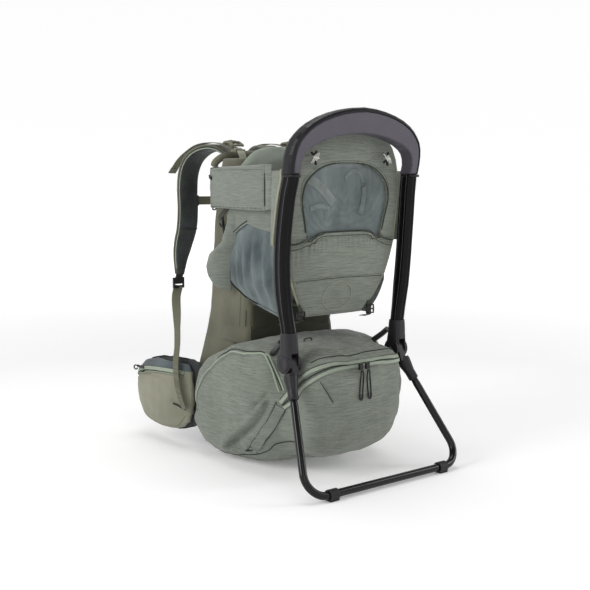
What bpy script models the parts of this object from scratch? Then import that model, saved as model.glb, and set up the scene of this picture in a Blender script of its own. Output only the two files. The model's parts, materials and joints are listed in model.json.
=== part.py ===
"""Framed child carrier backpack: rear hoop with grab arch, folding kickstand, back frame,
sliding shoulder harness, hip belt, child seat and lower cargo bag.

Metres, +Z up.  +Y is the way the wearer faces, +X is the wearer's right.
"""

import math

import bmesh
import bpy
from mathutils import Vector
from mathutils.geometry import tessellate_polygon

# ------------------------------------------------------------------ driving dimensions
Y_SHIFT = -0.0408          # puts the origin under the middle of the whole object
GAP = 0.0003               # clearance between touching pieces

TUBE_R = 0.008             # kickstand tube
BAR_Z = 0.0118             # height of the kickstand's floor bar
CORNER_X, CORNER_Y = 0.2178, -0.3110
BEND_R = 0.042

PIVOT = (0.150, -0.172, 0.250)      # kickstand hinge, right side
HUB_R = 0.0205
PIN_R = 0.004

LEG_W, LEG_D = 0.026, 0.036         # hoop extrusion, across and front to back
LEG_PATH = [(0.1618, -0.1925, 0.6290), (0.1618, -0.1922, 0.6190), (0.1650, -0.1862, 0.590), (0.1678, -0.1800, 0.540),
            (0.1690, -0.1755, 0.495), (0.1684, -0.1726, 0.449), (0.1655, -0.1710, 0.404),
            (0.1600, -0.1712, 0.362), (0.1546, -0.1722, 0.330), (0.1510, -0.1728, 0.305),
            (0.1500, -0.1728, 0.284)]

ARCH_Y0 = -0.2150           # back face of the arch, 0.65 m above the floor
ARCH_OUT = [(0.1768, 0.6300), (0.1778, 0.6500), (0.1768, 0.6680), (0.1735, 0.6840), (0.1672, 0.6980), (0.1580, 0.7095),
            (0.1460, 0.7210), (0.1320, 0.7310), (0.1100, 0.7422), (0.0850, 0.7510), (0.0600, 0.7572), (0.0320, 0.7618), (0.0, 0.7640)]
ARCH_IN = [(0.1500, 0.6300), (0.1512, 0.6500), (0.1480, 0.6620), (0.1415, 0.6730), (0.1320, 0.6810), (0.1150, 0.6900),
           (0.0950, 0.6972), (0.0680, 0.7045), (0.0405, 0.7093), (0.0200, 0.7112), (0.0, 0.7118)]
ARCH_LEAN = -0.20          # the arch leans back as it rises
RIM = 0.0085

FRAME_R = 0.0075           # back frame tube
FRAME_X, FRAME_Y = 0.088, 0.075
WING_PIVOT = (0.136, 0.152, 0.130)
SEAT_Z = 0.352

# ------------------------------------------------------------------ clean start
for o in list(bpy.data.objects):
    bpy.data.objects.remove(o)

ROOT = bpy.data.objects.new("carrier_origin", None)
bpy.context.scene.collection.objects.link(ROOT)
ROOT.location = (0, Y_SHIFT, 0)
EMPTIES = {}


def empty(name, at, parent=None):
    """An empty on a joint's axis. Its pieces are parented to it."""
    e = bpy.data.objects.new(name, None)
    bpy.context.scene.collection.objects.link(e)
    base = Vector((0, 0, 0)) if parent is None else EMPTIES[parent][1]
    e.parent = ROOT if parent is None else EMPTIES[parent][0]
    e.location = Vector(at) - base
    EMPTIES[name] = (e, Vector(at))
    return e


MATERIALS = {
    "frame_black": ((0.012, 0.012, 0.014), 0.32, 0.0),
    "arch_grey": ((0.085, 0.080, 0.095), 0.45, 0.0),
    "knuckle_grey": ((0.050, 0.048, 0.056), 0.45, 0.0),
    "tube_black": ((0.010, 0.010, 0.011), 0.20, 0.6),
    "rubber": ((0.015, 0.015, 0.016), 0.75, 0.0),
    "steel": ((0.55, 0.55, 0.56), 0.35, 1.0),
    "aluminium": ((0.60, 0.61, 0.62), 0.35, 1.0),
    "sheet": ((0.05, 0.05, 0.05), 0.5, 0.0),
    "heather": ((0.165, 0.185, 0.160), 0.9, 0.0),
    "olive": ((0.175, 0.180, 0.135), 0.85, 0.0),
    "mesh_blue": ((0.130, 0.165, 0.165), 0.8, 0.0),
    "mesh_dark": ((0.045, 0.052, 0.052), 0.9, 0.0),
    "pad_green": ((0.150, 0.185, 0.150), 0.9, 0.0),
    "webbing": ((0.125, 0.130, 0.100), 0.8, 0.0),
    "buckle": ((0.030, 0.032, 0.028), 0.45, 0.0),
    "hook_light": ((0.50, 0.50, 0.48), 0.35, 0.0),
    "cord_black": ((0.02, 0.02, 0.02), 0.8, 0.0),
}


def material(name):
    m = bpy.data.materials.get(name)
    if m is None:
        m = bpy.data.materials.new(name)
        m.use_nodes = True
        b = m.node_tree.nodes["Principled BSDF"]
        c, r, k = MATERIALS[name]
        b.inputs["Base Color"].default_value = (*c, 1)
        b.inputs["Roughness"].default_value = r
        b.inputs["Metallic"].default_value = k
    return m


def add(name, bm, mat, on=None, smooth=True):
    """Makes a named object from a bmesh given in the carrier's frame, parented to the empty of its joint."""
    bmesh.ops.recalc_face_normals(bm, faces=bm.faces)
    if bm.calc_volume(signed=True) < 0:
        bmesh.ops.reverse_faces(bm, faces=bm.faces)
    at = Vector((0, 0, 0)) if on is None else EMPTIES[on][1]
    bmesh.ops.translate(bm, verts=bm.verts, vec=-at)
    me = bpy.data.meshes.new(name)
    bm.to_mesh(me)
    bm.free()
    if smooth:
        me.shade_smooth()
        me.set_sharp_from_angle(angle=math.radians(35))
    me.materials.append(material(mat))
    o = bpy.data.objects.new(name, me)
    bpy.context.scene.collection.objects.link(o)
    o.parent = ROOT if on is None else EMPTIES[on][0]
    return o


def cutter(name, bm, on=None):
    o = add(name, bm, "sheet", on)
    o.hide_render = True
    o.display_type = "WIRE"
    return o


def boolean(o, tool, how="DIFFERENCE"):
    m = o.modifiers.new(how.lower(), "BOOLEAN")
    m.operation = how
    m.solver = "EXACT"
    m.object = tool


def bevel(o, width, segments=1, angle=40):
    m = o.modifiers.new("bevel", "BEVEL")
    m.width = width
    m.segments = segments
    m.limit_method = "ANGLE"
    m.angle_limit = math.radians(angle)


# ------------------------------------------------------------------ shape builders
def interp(pts, v):
    for (a, p), (b, q) in zip(pts, pts[1:]):
        if v <= b:
            return p + (q - p) * max(0.0, (v - a) / (b - a))
    return pts[-1][1]


def smooth_path(points, per=3):
    """Catmull-Rom through the points."""
    p = [Vector(q) for q in points]
    p = [2 * p[0] - p[1], *p, 2 * p[-1] - p[-2]]
    out = []
    for i in range(1, len(p) - 2):
        for k in range(per):
            t = k / per
            a, b, c, d = p[i - 1], p[i], p[i + 1], p[i + 2]
            out.append(0.5 * ((2 * b) + (c - a) * t + (2 * a - 5 * b + 4 * c - d) * t * t
                              + (3 * b - a - 3 * c + d) * t ** 3))
    out.append(p[-2])
    return out


def rings_to_bm(rings, bm=None, plan=False):
    """A closed solid from rings of equal count: side quads and two end caps. With plan, the caps are cut up in plan view."""
    bm = bm or bmesh.new()
    loops = [[bm.verts.new(v) for v in r] for r in rings]
    n = len(loops[0])
    for a, b in zip(loops, loops[1:]):
        for i in range(n):
            bm.faces.new((a[i], a[(i + 1) % n], b[(i + 1) % n], b[i]))
    if plan:
        for loop in (loops[0], loops[-1]):
            for tri in tessellate_polygon([[Vector((v.co.x, v.co.y, 0)) for v in loop]]):
                bm.faces.new([loop[i] for i in tri])
        return bm
    caps = [bm.faces.new(list(reversed(loops[0]))), bm.faces.new(loops[-1])]
    bmesh.ops.triangulate(bm, faces=caps, quad_method="BEAUTY", ngon_method="EAR_CLIP")
    return bm


def sweep(path, profile, side, bm=None, scale=None):
    """Sweeps a 2-D profile along a path. side is the profile's first axis, roughly."""
    path = [Vector(p) for p in path]
    rings = []
    for i, p in enumerate(path):
        t = (path[min(i + 1, len(path) - 1)] - path[max(i - 1, 0)]).normalized()
        s = Vector(side(i / (len(path) - 1)) if callable(side) else side)
        n = (s - s.dot(t) * t).normalized()
        b = t.cross(n)
        k = scale(i / (len(path) - 1)) if scale else (1, 1)
        rings.append([p + n * (u * k[0]) + b * (v * k[1]) for u, v in profile])
    return rings_to_bm(rings, bm)


def circle(r, n=12):
    return [(r * math.cos(2 * math.pi * i / n), r * math.sin(2 * math.pi * i / n)) for i in range(n)]


def flat(w, t):
    """A webbing section, w wide and t thick, with eased edges."""
    w, t = w / 2, t / 2
    e = min(t, w) * 0.9
    return [(w, 0), (w - e, t), (-w + e, t), (-w, 0), (-w + e, -t), (w - e, -t)]


def rounded(w, d, r, n=2):
    out = []
    for cx, cy, a0 in ((w / 2 - r, d / 2 - r, 0), (-w / 2 + r, d / 2 - r, 90),
                       (-w / 2 + r, -d / 2 + r, 180), (w / 2 - r, -d / 2 + r, 270)):
        for k in range(n + 1):
            a = math.radians(a0 + 90 * k / n)
            out.append((cx + r * math.cos(a), cy + r * math.sin(a)))
    return out


def prism(outline, axis, lo, hi, bm=None):
    """Extrudes a 2-D outline along an axis. x: (y,z), y: (x,z), z: (x,y)."""
    bm = bm or bmesh.new()

    def at(p, h):
        return {"x": (h, p[0], p[1]), "y": (p[0], h, p[1]), "z": (p[0], p[1], h)}[axis]

    face = bm.faces.new([bm.verts.new(at(p, lo)) for p in outline])
    made = bmesh.ops.extrude_face_region(bm, geom=[face])
    d = hi - lo
    vec = {"x": (d, 0, 0), "y": (0, d, 0), "z": (0, 0, d)}[axis]
    bmesh.ops.translate(bm, verts=[g for g in made["geom"] if isinstance(g, bmesh.types.BMVert)], vec=vec)
    return bm


def box(lo, hi, bm=None):
    return prism([(lo[0], lo[1]), (hi[0], lo[1]), (hi[0], hi[1]), (lo[0], hi[1])], "z", lo[2], hi[2], bm)


def disc(centre, r, x0, x1, n=20, bm=None):
    """A cylinder along X."""
    return prism([(centre[1] + r * math.cos(2 * math.pi * i / n), centre[2] + r * math.sin(2 * math.pi * i / n))
                  for i in range(n)], "x", x0, x1, bm)


def slab(rows, n=7, bm=None):
    """A curved pad standing up: each row is (z, x0, x1, y_of_x, thickness). Closed."""
    rings = []
    for z, x0, x1, yf, t in rows:
        xs = [x0 + (x1 - x0) * i / (n - 1) for i in range(n)]
        rings.append([Vector((x, yf(x) - t / 2, z)) for x in xs] + [Vector((x, yf(x) + t / 2, z)) for x in reversed(xs)])
    return rings_to_bm(rings, bm)


def wall(rows, n=6, bm=None):
    """A curved pad along Y: each row is (z, y0, y1, x_of_y, thickness). Closed."""
    rings = []
    for z, y0, y1, xf, t in rows:
        ys = [y0 + (y1 - y0) * i / (n - 1) for i in range(n)]
        rings.append([Vector((xf(y) - t / 2, y, z)) for y in ys] + [Vector((xf(y) + t / 2, y, z)) for y in reversed(ys)])
    return rings_to_bm(rings, bm)


def mirrored(bm):
    """The left-hand copy of a right-hand shape."""
    out = bm.copy()
    for v in out.verts:
        v.co.x = -v.co.x
    bmesh.ops.reverse_faces(out, faces=out.faces)
    return out


def both(make):
    """One bmesh holding the right-hand shape and its mirror, as separate bodies."""
    bm = make()
    m = mirrored(bm)
    me = bpy.data.meshes.new("tmp")
    m.to_mesh(me)
    m.free()
    bm.from_mesh(me)
    bpy.data.meshes.remove(me)
    return bm


def pair(name, make, mat, on=(None, None), cuts=(), smooth=True):
    """NAME_left and NAME_right."""
    made = []
    for side, where in (("right", on[1]), ("left", on[0])):
        bm = make()
        if side == "left":
            m = mirrored(bm)
            bm.free()
            bm = m
        o = add(f"{name}_{side}", bm, mat, where, smooth)
        for how, tool in cuts:
            tb = tool()
            if side == "left":
                m = mirrored(tb)
                tb.free()
                tb = m
            boolean(o, cutter(f"cut_{name}_{side}_{len(o.modifiers)}", tb, where), how)
        made.append(o)
    return made


# ------------------------------------------------------------------ joint empties
empty("kickstand_pivot", (0, PIVOT[1], PIVOT[2]))
empty("yoke_slide", (0, 0.118, 0.55))
empty("sternum_slide", (0, 0.262, 0.568), "yoke_slide")
empty("wing_pivot_left", (-WING_PIVOT[0], WING_PIVOT[1], WING_PIVOT[2]))
empty("wing_pivot_right", WING_PIVOT)
empty("hip_zip_left", (-0.1884, 0.350, 0.169), "wing_pivot_left")
empty("hip_zip_right", (0.1884, 0.350, 0.169), "wing_pivot_right")
empty("seat_slide", (0, -0.06, SEAT_Z))
empty("bag_zip_left", (-0.016, -0.2400, 0.2375))
empty("bag_zip_right", (0.002, -0.2400, 0.2375))
empty("pull_pivot_left", (-0.016, -0.2445, 0.2300), "bag_zip_left")
empty("pull_pivot_right", (0.002, -0.2445, 0.2300), "bag_zip_right")


# ------------------------------------------------------------------ rear hoop
def leg_profile(grow=0.0):
    """Extruded section: an oval with a shallow groove along its rear and front faces."""
    w, d = LEG_W / 2 + grow, LEG_D / 2 + grow
    g = 0.0022 if grow == 0 else 0.0
    return [(w, 0.006), (w * 0.92, d * 0.62), (w * 0.66, d * 0.92), (w * 0.40, d), (w * 0.30, d - g), (-w * 0.30, d - g),
            (-w * 0.40, d), (-w * 0.66, d * 0.92), (-w * 0.92, d * 0.62), (-w, 0.006),
            (-w, -0.006), (-w * 0.92, -d * 0.62), (-w * 0.66, -d * 0.92), (-w * 0.40, -d), (-w * 0.30, -d + g),
            (w * 0.30, -d + g), (w * 0.40, -d), (w * 0.66, -d * 0.92), (w * 0.92, -d * 0.62), (w, -0.006)]


def leg_scale(t):
    """The extrusion is squeezed front to back over its last 50 mm, where it enters the knuckle."""
    return (1.0, interp([(0.0, 1.0), (0.66, 1.0), (0.86, 0.78), (1.0, 0.76)], t))


def leg():
    return sweep(LEG_PATH, leg_profile(), (1, 0, 0), scale=leg_scale)


pair("hoop_leg", leg, "frame_black")


def arch_outline(pts):
    right = list(pts)
    return right + [(-x, z) for x, z in reversed(right[:-1])]


def offset(pts, d):
    """The outline moved in by d, for an inverted U given from right foot over the top to left foot."""
    out = []
    for i, (x, z) in enumerate(pts):
        a, b = Vector(pts[max(i - 1, 0)]), Vector(pts[min(i + 1, len(pts) - 1)])
        t = (b - a).normalized()
        n = Vector((-t.y, t.x))
        out.append((x + n.x * d, z + n.y * d))
    out[0], out[-1] = (out[0][0], pts[0][1]), (out[-1][0], pts[-1][1])
    return out


def lean(bm):
    for v in bm.verts:
        v.co.y += ARCH_LEAN * (v.co.z - 0.650)
    return bm


def rim():
    """Bent bar that follows the arch's outside, rounded over towards the back."""
    rings = []
    for i, (x, z) in enumerate(OUT):
        a, b = Vector(OUT[max(i - 1, 0)]), Vector(OUT[min(i + 1, len(OUT) - 1)])
        t = (b - a).normalized()
        n = Vector((-t.y, t.x))
        if i in (0, len(OUT) - 1):
            n = Vector((-1 if x > 0 else 1, 0))
        rings.append([Vector((x + n.x * d, ARCH_Y0 + y, z + n.y * d)) for d, y in
                      ((0.0064, 0.0), (0.0022, 0.0040), (0.0, 0.0110), (0.0, 0.0250), (0.0020, 0.0320), (RIM - 0.0020, 0.0350), (RIM, 0.0350), (RIM, 0.0))])
    return lean(rings_to_bm(rings))


OUT, IN = arch_outline(ARCH_OUT), arch_outline(ARCH_IN)
add("arch_rim", rim(), "frame_black")
o = add("arch_face", lean(prism(offset(OUT, RIM + GAP) + list(reversed(IN)), "y", ARCH_Y0, ARCH_Y0 + 0.0350)), "arch_grey")
bevel(o, 0.0022, 1, 50)


# ------------------------------------------------------------------ knuckles and kickstand
def housing():
    """Upper half of the hinge: a socket round the leg's end, running down into a round hub."""
    rings = []
    for z, w, d, y in ((0.3130, 0.0288, 0.0310, -0.1728), (0.305, 0.0300, 0.0325, -0.1728), (0.285, 0.0305, 0.0350, -0.1728),
                       (0.268, 0.0310, 0.0390, -0.1722), (0.252, 0.0310, 0.0405, PIVOT[1])):
        x = 0.150 + (z - 0.25) * 0.02
        rings.append([Vector((x + u, y + v, z)) for u, v in rounded(w, d, 0.010, 3)])
    return rings_to_bm(rings)


pair("knuckle", housing, "knuckle_grey", cuts=(
    ("UNION", lambda: disc(PIVOT, HUB_R, 0.1345, 0.1655, 24)),
    ("DIFFERENCE", lambda: box((0.1415, -0.22, 0.20), (0.1585, -0.12, 0.2722))),
    ("DIFFERENCE", lambda: disc(PIVOT, PIN_R + 0.0004, 0.12, 0.18, 16)),
    ("DIFFERENCE", lambda: sweep([*LEG_PATH[-3:-1], (0.150, -0.1728, 0.2836)], leg_profile(0.0005), (1, 0, 0), scale=lambda t: (1.0, 0.79))),
))

AXIS = (Vector((CORNER_X, CORNER_Y, BAR_Z)) - Vector(PIVOT)).normalized()


def along(s):
    return Vector(PIVOT) + AXIS * s


def kick_half():
    """Centre line of the right half of the kickstand: down from the socket, round the bend, in to the middle."""
    corner = Vector((CORNER_X, CORNER_Y, BAR_Z))
    up, inn = (Vector(PIVOT) - corner).normalized(), Vector((-1, 0, 0))
    half = up.angle(inn) / 2
    reach = BEND_R / math.tan(half)
    centre = corner + (up + inn).normalized() * (BEND_R / math.sin(half))
    a, b = corner + up * reach - centre, corner + inn * reach - centre
    turn = a.angle(b)
    pts = [along(0.040), along(0.12)]
    for k in range(8):
        t = k / 7
        pts.append(centre + (a * math.sin((1 - t) * turn) + b * math.sin(t * turn)) / math.sin(turn))
    return pts


def kick_path():
    right = kick_half()
    return right + [Vector((-p.x, p.y, p.z)) for p in reversed(right)]


def round_sweep(path, r, n=12, bm=None):
    """A tube along a path that turns in one plane, so its section keeps one side direction."""
    path = [Vector(p) for p in path]
    normal = (path[1] - path[0]).cross(path[len(path) // 2] - path[1]).normalized()
    return sweep(path, circle(r, n), normal, bm)


add("kickstand_tube", round_sweep(kick_path(), TUBE_R), "tube_black", "kickstand_pivot")


def socket():
    """Lower half of the hinge: sleeve for the kickstand tube."""
    side = Vector((1, 0, 0))
    pts = [along(0.0272), along(0.034), along(0.046), along(0.060), along(0.0755), along(0.078)]
    scale = [(0.0145, 0.0150), (0.0150, 0.0155), (0.0132, 0.0135), (0.0110, 0.0110), (0.0108, 0.0108), (0.0102, 0.0102)]
    rings = []
    for p, (a, b) in zip(pts, scale):
        n = (side - side.dot(AXIS) * AXIS).normalized()
        m = AXIS.cross(n)
        rings.append([p + n * (a * math.cos(2 * math.pi * i / 16)) + m * (b * math.sin(2 * math.pi * i / 16)) for i in range(16)])
    return rings_to_bm(rings)


def tongue():
    """Flat eye that turns between the knuckle's cheeks, with a neck down to the sleeve."""
    d = Vector((0, AXIS.y, AXIS.z)).normalized()
    a0 = math.atan2(d.z, d.y)
    pts = []
    for k in range(15):
        a = a0 + math.radians(70 + 220 * k / 14)
        pts.append((PIVOT[1] + 0.0165 * math.cos(a), PIVOT[2] + 0.0165 * math.sin(a)))
    side = Vector((-d.z, d.y))
    c = Vector((PIVOT[1], PIVOT[2])) + Vector((d.y, d.z)) * 0.034
    p1, p2 = c + side * 0.010, c - side * 0.010
    last, first = Vector(pts[-1]), Vector(pts[0])
    if (p1 - last).length < (p2 - last).length:
        pts += [tuple(p1), tuple(p2)]
    else:
        pts += [tuple(p2), tuple(p1)]
    return prism(pts, "x", 0.1422, 0.1578)


pair("kickstand_socket", socket, "knuckle_grey", ("kickstand_pivot", "kickstand_pivot"), cuts=(
    ("UNION", tongue),
    ("DIFFERENCE", lambda: disc(PIVOT, PIN_R + 0.0004, 0.12, 0.18, 16)),
    ("DIFFERENCE", lambda: sweep([along(0.0396), along(0.06), along(0.10)], circle(TUBE_R + 0.0004), (1, 0, 0))),
))

pair("pivot_pin", lambda: disc(PIVOT, PIN_R, 0.1335, 0.1665, 16), "steel")


def foot():
    """Rubber clamp round the floor bar, with a flat sole."""
    x0, x1 = 0.1415, 0.1635
    n = 14
    outer = []
    for i in range(n + 1):
        a = math.radians(-35 + 250 * i / n)
        outer.append((CORNER_Y + 0.0112 * math.cos(a), BAR_Z + 0.0112 * math.sin(a)))
    outer += [(CORNER_Y - 0.0085, 0.0), (CORNER_Y + 0.0085, 0.0)]
    return prism(outer, "x", x0, x1)


def foot_hole():
    return prism([(CORNER_Y + p[0], BAR_Z + p[1]) for p in circle(TUBE_R + 0.0004, 16)], "x", 0.12, 0.18)


pair("kickstand_foot", foot, "rubber", ("kickstand_pivot", "kickstand_pivot"), cuts=(("DIFFERENCE", foot_hole),))


# ------------------------------------------------------------------ back frame
def back_frame():
    top, r = 0.632, 0.040
    right = [Vector((FRAME_X, FRAME_Y, 0.012)), Vector((FRAME_X, FRAME_Y, top - r))]
    for k in range(1, 6):
        a = math.radians(90 * k / 5)
        right.append(Vector((FRAME_X - r + r * math.cos(a), FRAME_Y, top - r + r * math.sin(a))))
    path = right + [Vector((-p.x, p.y, p.z)) for p in reversed(right)]
    return sweep(path, circle(FRAME_R, 10), (0, 1, 0))


ARM = smooth_path([(0.1500, -0.1450, 0.2890), (0.1430, -0.110, 0.262), (0.118, -0.03, 0.215), (0.0980, 0.035, 0.205), (FRAME_X, FRAME_Y, 0.203)], 2)


def arm():
    return sweep(ARM, circle(0.0065, 10), (0, 0, 1))


o = add("back_frame_tube", back_frame(), "aluminium")
boolean(o, cutter("join_base_arms", both(arm)), "UNION")


# ------------------------------------------------------------------ column behind the wearer's back
def column():
    """Half of the padded channel round the back frame, open towards the wearer; its flank runs down beside the lumbar pad."""
    bm = bmesh.new()
    t, wt = 0.013, 0.016
    loops = []
    for z, w, rear, front in ((0.2850, 0.1265, 0.0120, 0.167), (0.330, 0.1265, 0.0100, 0.153), (0.420, 0.1260, 0.0120, 0.143), (0.520, 0.1240, 0.0200, 0.137),
                              (0.600, 0.1200, 0.0340, 0.130), (0.666, 0.1130, 0.0500, 0.120)):
        loops.append([bm.verts.new((x, y, z)) for x, y in (
            (0.0003, rear), (w - 0.012, rear), (w, rear + 0.014), (w, front - 0.006), (w - 0.006, front), (w - wt, front - 0.004), (w - wt, rear + t), (0.0003, rear + t))])
    low = [[loops[0][i] for i in (2, 3, 4, 5, 6)]]
    for z, w, rear, front in ((0.2795, 0.1265, 0.0520, 0.169), (0.200, 0.1265, 0.0520, 0.204), (0.150, 0.1265, 0.0520, 0.218)):
        low.append([bm.verts.new((x, y, z)) for x, y in ((w, rear), (w, front - 0.006), (w - 0.006, front), (w - 0.016, front - 0.004), (w - 0.016, rear))])
    for stack in (loops, low):
        for a, b in zip(stack, stack[1:]):
            for i in range(len(a)):
                bm.faces.new((a[i], a[(i + 1) % len(a)], b[(i + 1) % len(a)], b[i]))
    bm.faces.new(loops[-1])
    bm.faces.new(low[-1])
    bm.faces.new([loops[0][i] for i in (0, 1, 2, 6, 7)])
    bmesh.ops.triangulate(bm, faces=bm.faces)
    return bm


pair("column_cover", column, "olive")


def lumbar():
    rings = []
    for z, w0, w1, y1 in ((0.062, 0.100, 0.084, 0.205), (0.078, 0.108, 0.088, 0.228), (0.130, 0.1095, 0.090, 0.230),
                          (0.190, 0.1095, 0.088, 0.214), (0.245, 0.107, 0.084, 0.188), (0.290, 0.100, 0.076, 0.160)):
        y0 = 0.098
        rings.append([Vector((x, y, z)) for x, y in ((-w0, y0), (w0, y0), (w0, y0 + 0.012), (w1 + 0.012, y1 - 0.012), (w1, y1 - 0.003),
                                                    (0.03, y1 + 0.003), (-0.03, y1 + 0.003),
                                                    (-w1, y1 - 0.003), (-w1 - 0.012, y1 - 0.012), (-w0, y0 + 0.012))])
    return rings_to_bm(rings)


add("lumbar_pad", lumbar(), "mesh_dark")

# ------------------------------------------------------------------ lower cargo bag
BAG_PLAN = [(0.0, -0.2375), (0.045, -0.2365), (0.088, -0.2325), (0.113, -0.2250), (0.1260, -0.2100), (0.1300, -0.1880), (0.1310, -0.1580),
            (0.1400, -0.1330), (0.1600, -0.1080), (0.1690, -0.0700), (0.1710, -0.0150), (0.1700, 0.0380)]
BAG_FRONT = [(0.1695, 0.0600), (0.1680, 0.1000), (0.1655, 0.1300), (0.1600, 0.1500), (0.1535, 0.1555), (0.1480, 0.1480), (0.1468, 0.1150),
             (0.1380, 0.1040), (0.1295, 0.0980)]
BAG_NOTCH = (0.1295, 0.0470)       # where the bag steps in behind the back frame


def bag_floor(y):
    return max(0.0, min(0.046, 0.0 + (0.035 - y) * 0.205)) if y < 0.035 else 0.0


def bag_roof(y):
    pts = [(-0.24, 0.255), (-0.20, 0.262), (-0.15, 0.269), (-0.09, 0.274), (-0.02, 0.274), (0.03, 0.268), (0.08, 0.246), (0.12, 0.222), (0.16, 0.194)]
    for (a, p), (b, q) in zip(pts, pts[1:]):
        if y <= b:
            return p + (q - p) * max(0.0, (y - a) / (b - a))
    return pts[-1][1]


def bag():
    rings = []
    for h, s, sy, g in ((0.0, 0.80, 0.80, 0.27), (0.06, 0.875, 0.895, 0.48), (0.18, 0.925, 0.955, 0.76), (0.38, 0.965, 0.985, 1.0), (0.64, 1.0, 1.0, 1.0),
                        (0.86, 0.985, 0.985, 0.86), (0.96, 0.945, 0.955, 0.72), (1.0, 0.87, 0.90, 0.58)):
        k = max(0.15, (s * 0.1700 - 0.1295) / 0.0405)
        half = [(x * s, -0.05 + (y + 0.05) * sy) for x, y in BAG_PLAN]
        half += [(0.1295 + (x - 0.1295) * k, 0.049 + (y - 0.049) * g) for x, y in BAG_FRONT] + [BAG_NOTCH]
        plan = half + [(-x, y) for x, y in reversed(half[1:])]
        rings.append([Vector((x, y, bag_floor(y) + h * (bag_roof(y) - bag_floor(y)))) for x, y in plan])
    bm = rings_to_bm(rings, plan=True)
    bmesh.ops.triangulate(bm, faces=bm.faces)
    return bm


o = add("lower_bag", bag(), "heather")
boolean(o, cutter("cut_bag_arms", both(lambda: sweep([ARM[0] + (ARM[0] - ARM[1]) * 3, *ARM, ARM[-1] + (ARM[-1] - ARM[-2]) * 2], circle(0.0072, 8), (0, 0, 1)))))


# ------------------------------------------------------------------ child's cockpit
PANEL_W = [(0.333, 0.078), (0.345, 0.090), (0.371, 0.106), (0.418, 0.130), (0.455, 0.142), (0.490, 0.1480), (0.540, 0.1480),
           (0.590, 0.1450), (0.630, 0.1405), (0.660, 0.1360), (0.685, 0.1270), (0.705, 0.1100), (0.720, 0.0820), (0.728, 0.0500)]
PANEL_Y = [(0.333, -0.132), (0.371, -0.146), (0.418, -0.157), (0.490, -0.164), (0.560, -0.164), (0.620, -0.160), (0.728, -0.152)]


def panel_y(x, z):
    return interp(PANEL_Y, z) + 0.010 * (x / 0.148) ** 2


def panel_rows(t, z0, z1, shrink=0.0, dy=0.0):
    rows = []
    for z, w in PANEL_W:
        if z0 <= z <= z1:
            rows.append((z, -w + shrink, w - shrink, (lambda x, z=z: panel_y(x, z) + dy), t))
    return rows


def window_outline(grow=0.0):
    """Arched window in the rear panel: flat below, round above."""
    pts = []
    for k in range(19):
        a = math.radians(-8 + 196 * k / 18)
        x, z = (0.121 + grow) * math.cos(a), 0.558 + (0.094 + grow) * math.sin(a)
        pts.append((x, z))
    pts += [(-0.100 - grow, 0.500 - grow), (0.100 + grow, 0.500 - grow)]
    return pts


o = add("rear_panel", slab(panel_rows(0.013, 0.333, 0.728), 9), "heather")
boolean(o, cutter("cut_window", prism(window_outline(0.0004), "y", -0.25, -0.05)))
WINDOW_W = [(0.5005, 0.0990), (0.530, 0.1120), (0.548, 0.1185), (0.565, 0.1190), (0.590, 0.1115), (0.615, 0.0945), (0.635, 0.066), (0.6475, 0.032)]
o = add("window_mesh", slab([(z, -w, w, (lambda x, z=z: panel_y(x, z)), 0.003) for z, w in WINDOW_W], 7), "mesh_blue")


def side_panel():
    rows = []
    for z, in ((0.5555,), (0.5640,), (0.6000,), (0.6360,), (0.6440,)):
        t = 0.0095 if 0.56 < z < 0.64 else 0.005
        rows.append((z, -0.122, 0.106, lambda y, z=z: 0.1555 - 0.006 * max(0, (y - 0.02) / 0.09), t))
    return wall(rows, 6)


pair("side_panel", side_panel, "heather")


def seat_side():
    rows = []
    for z, y0, y1, b in ((0.345, -0.118, -0.060, 0.000), (0.360, -0.133, -0.020, 0.006), (0.390, -0.1415, 0.000, 0.013),
                         (0.430, -0.1415, 0.002, 0.019), (0.470, -0.1415, 0.002, 0.016), (0.510, -0.1415, 0.000, 0.008),
                         (0.545, -0.1415, -0.002, 0.002), (0.600, -0.1400, -0.002, 0.0), (0.648, -0.1370, -0.002, 0.0)):
        m, h = (y0 + y1) / 2, (y1 - y0) / 2
        x0 = 0.1410 if z > 0.40 else 0.1410 - (0.40 - z) * 0.55
        rows.append((z, y0, y1, (lambda y, m=m, h=h, b=b, x0=x0: x0 + b * (1 - ((y - m) / h) ** 2)), 0.006))
    return wall(rows, 6)


pair("seat_side", seat_side, "mesh_blue")


def cuff():
    """Padded fabric that stands off the column's flank, so the child's leg passes down inside it."""
    rows = []
    for z, y0, y1, b in ((0.366, 0.010, 0.086, 0.028), (0.378, 0.006, 0.098, 0.031), (0.400, 0.006, 0.104, 0.032), (0.430, 0.004, 0.112, 0.034),
                         (0.465, 0.004, 0.106, 0.030), (0.500, 0.004, 0.092, 0.020), (0.530, 0.004, 0.082, 0.010), (0.550, 0.004, 0.076, 0.005)):
        m, h = (y0 + y1) / 2, (y1 - y0) / 2
        rows.append((z, y0, y1, (lambda y, m=m, h=h, b=b: 0.1375 + b * max(0.0, 1 - ((y - m) / h) ** 2)), 0.007))
    return wall(rows, 9)


pair("leg_cuff", cuff, "pad_green")


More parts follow.
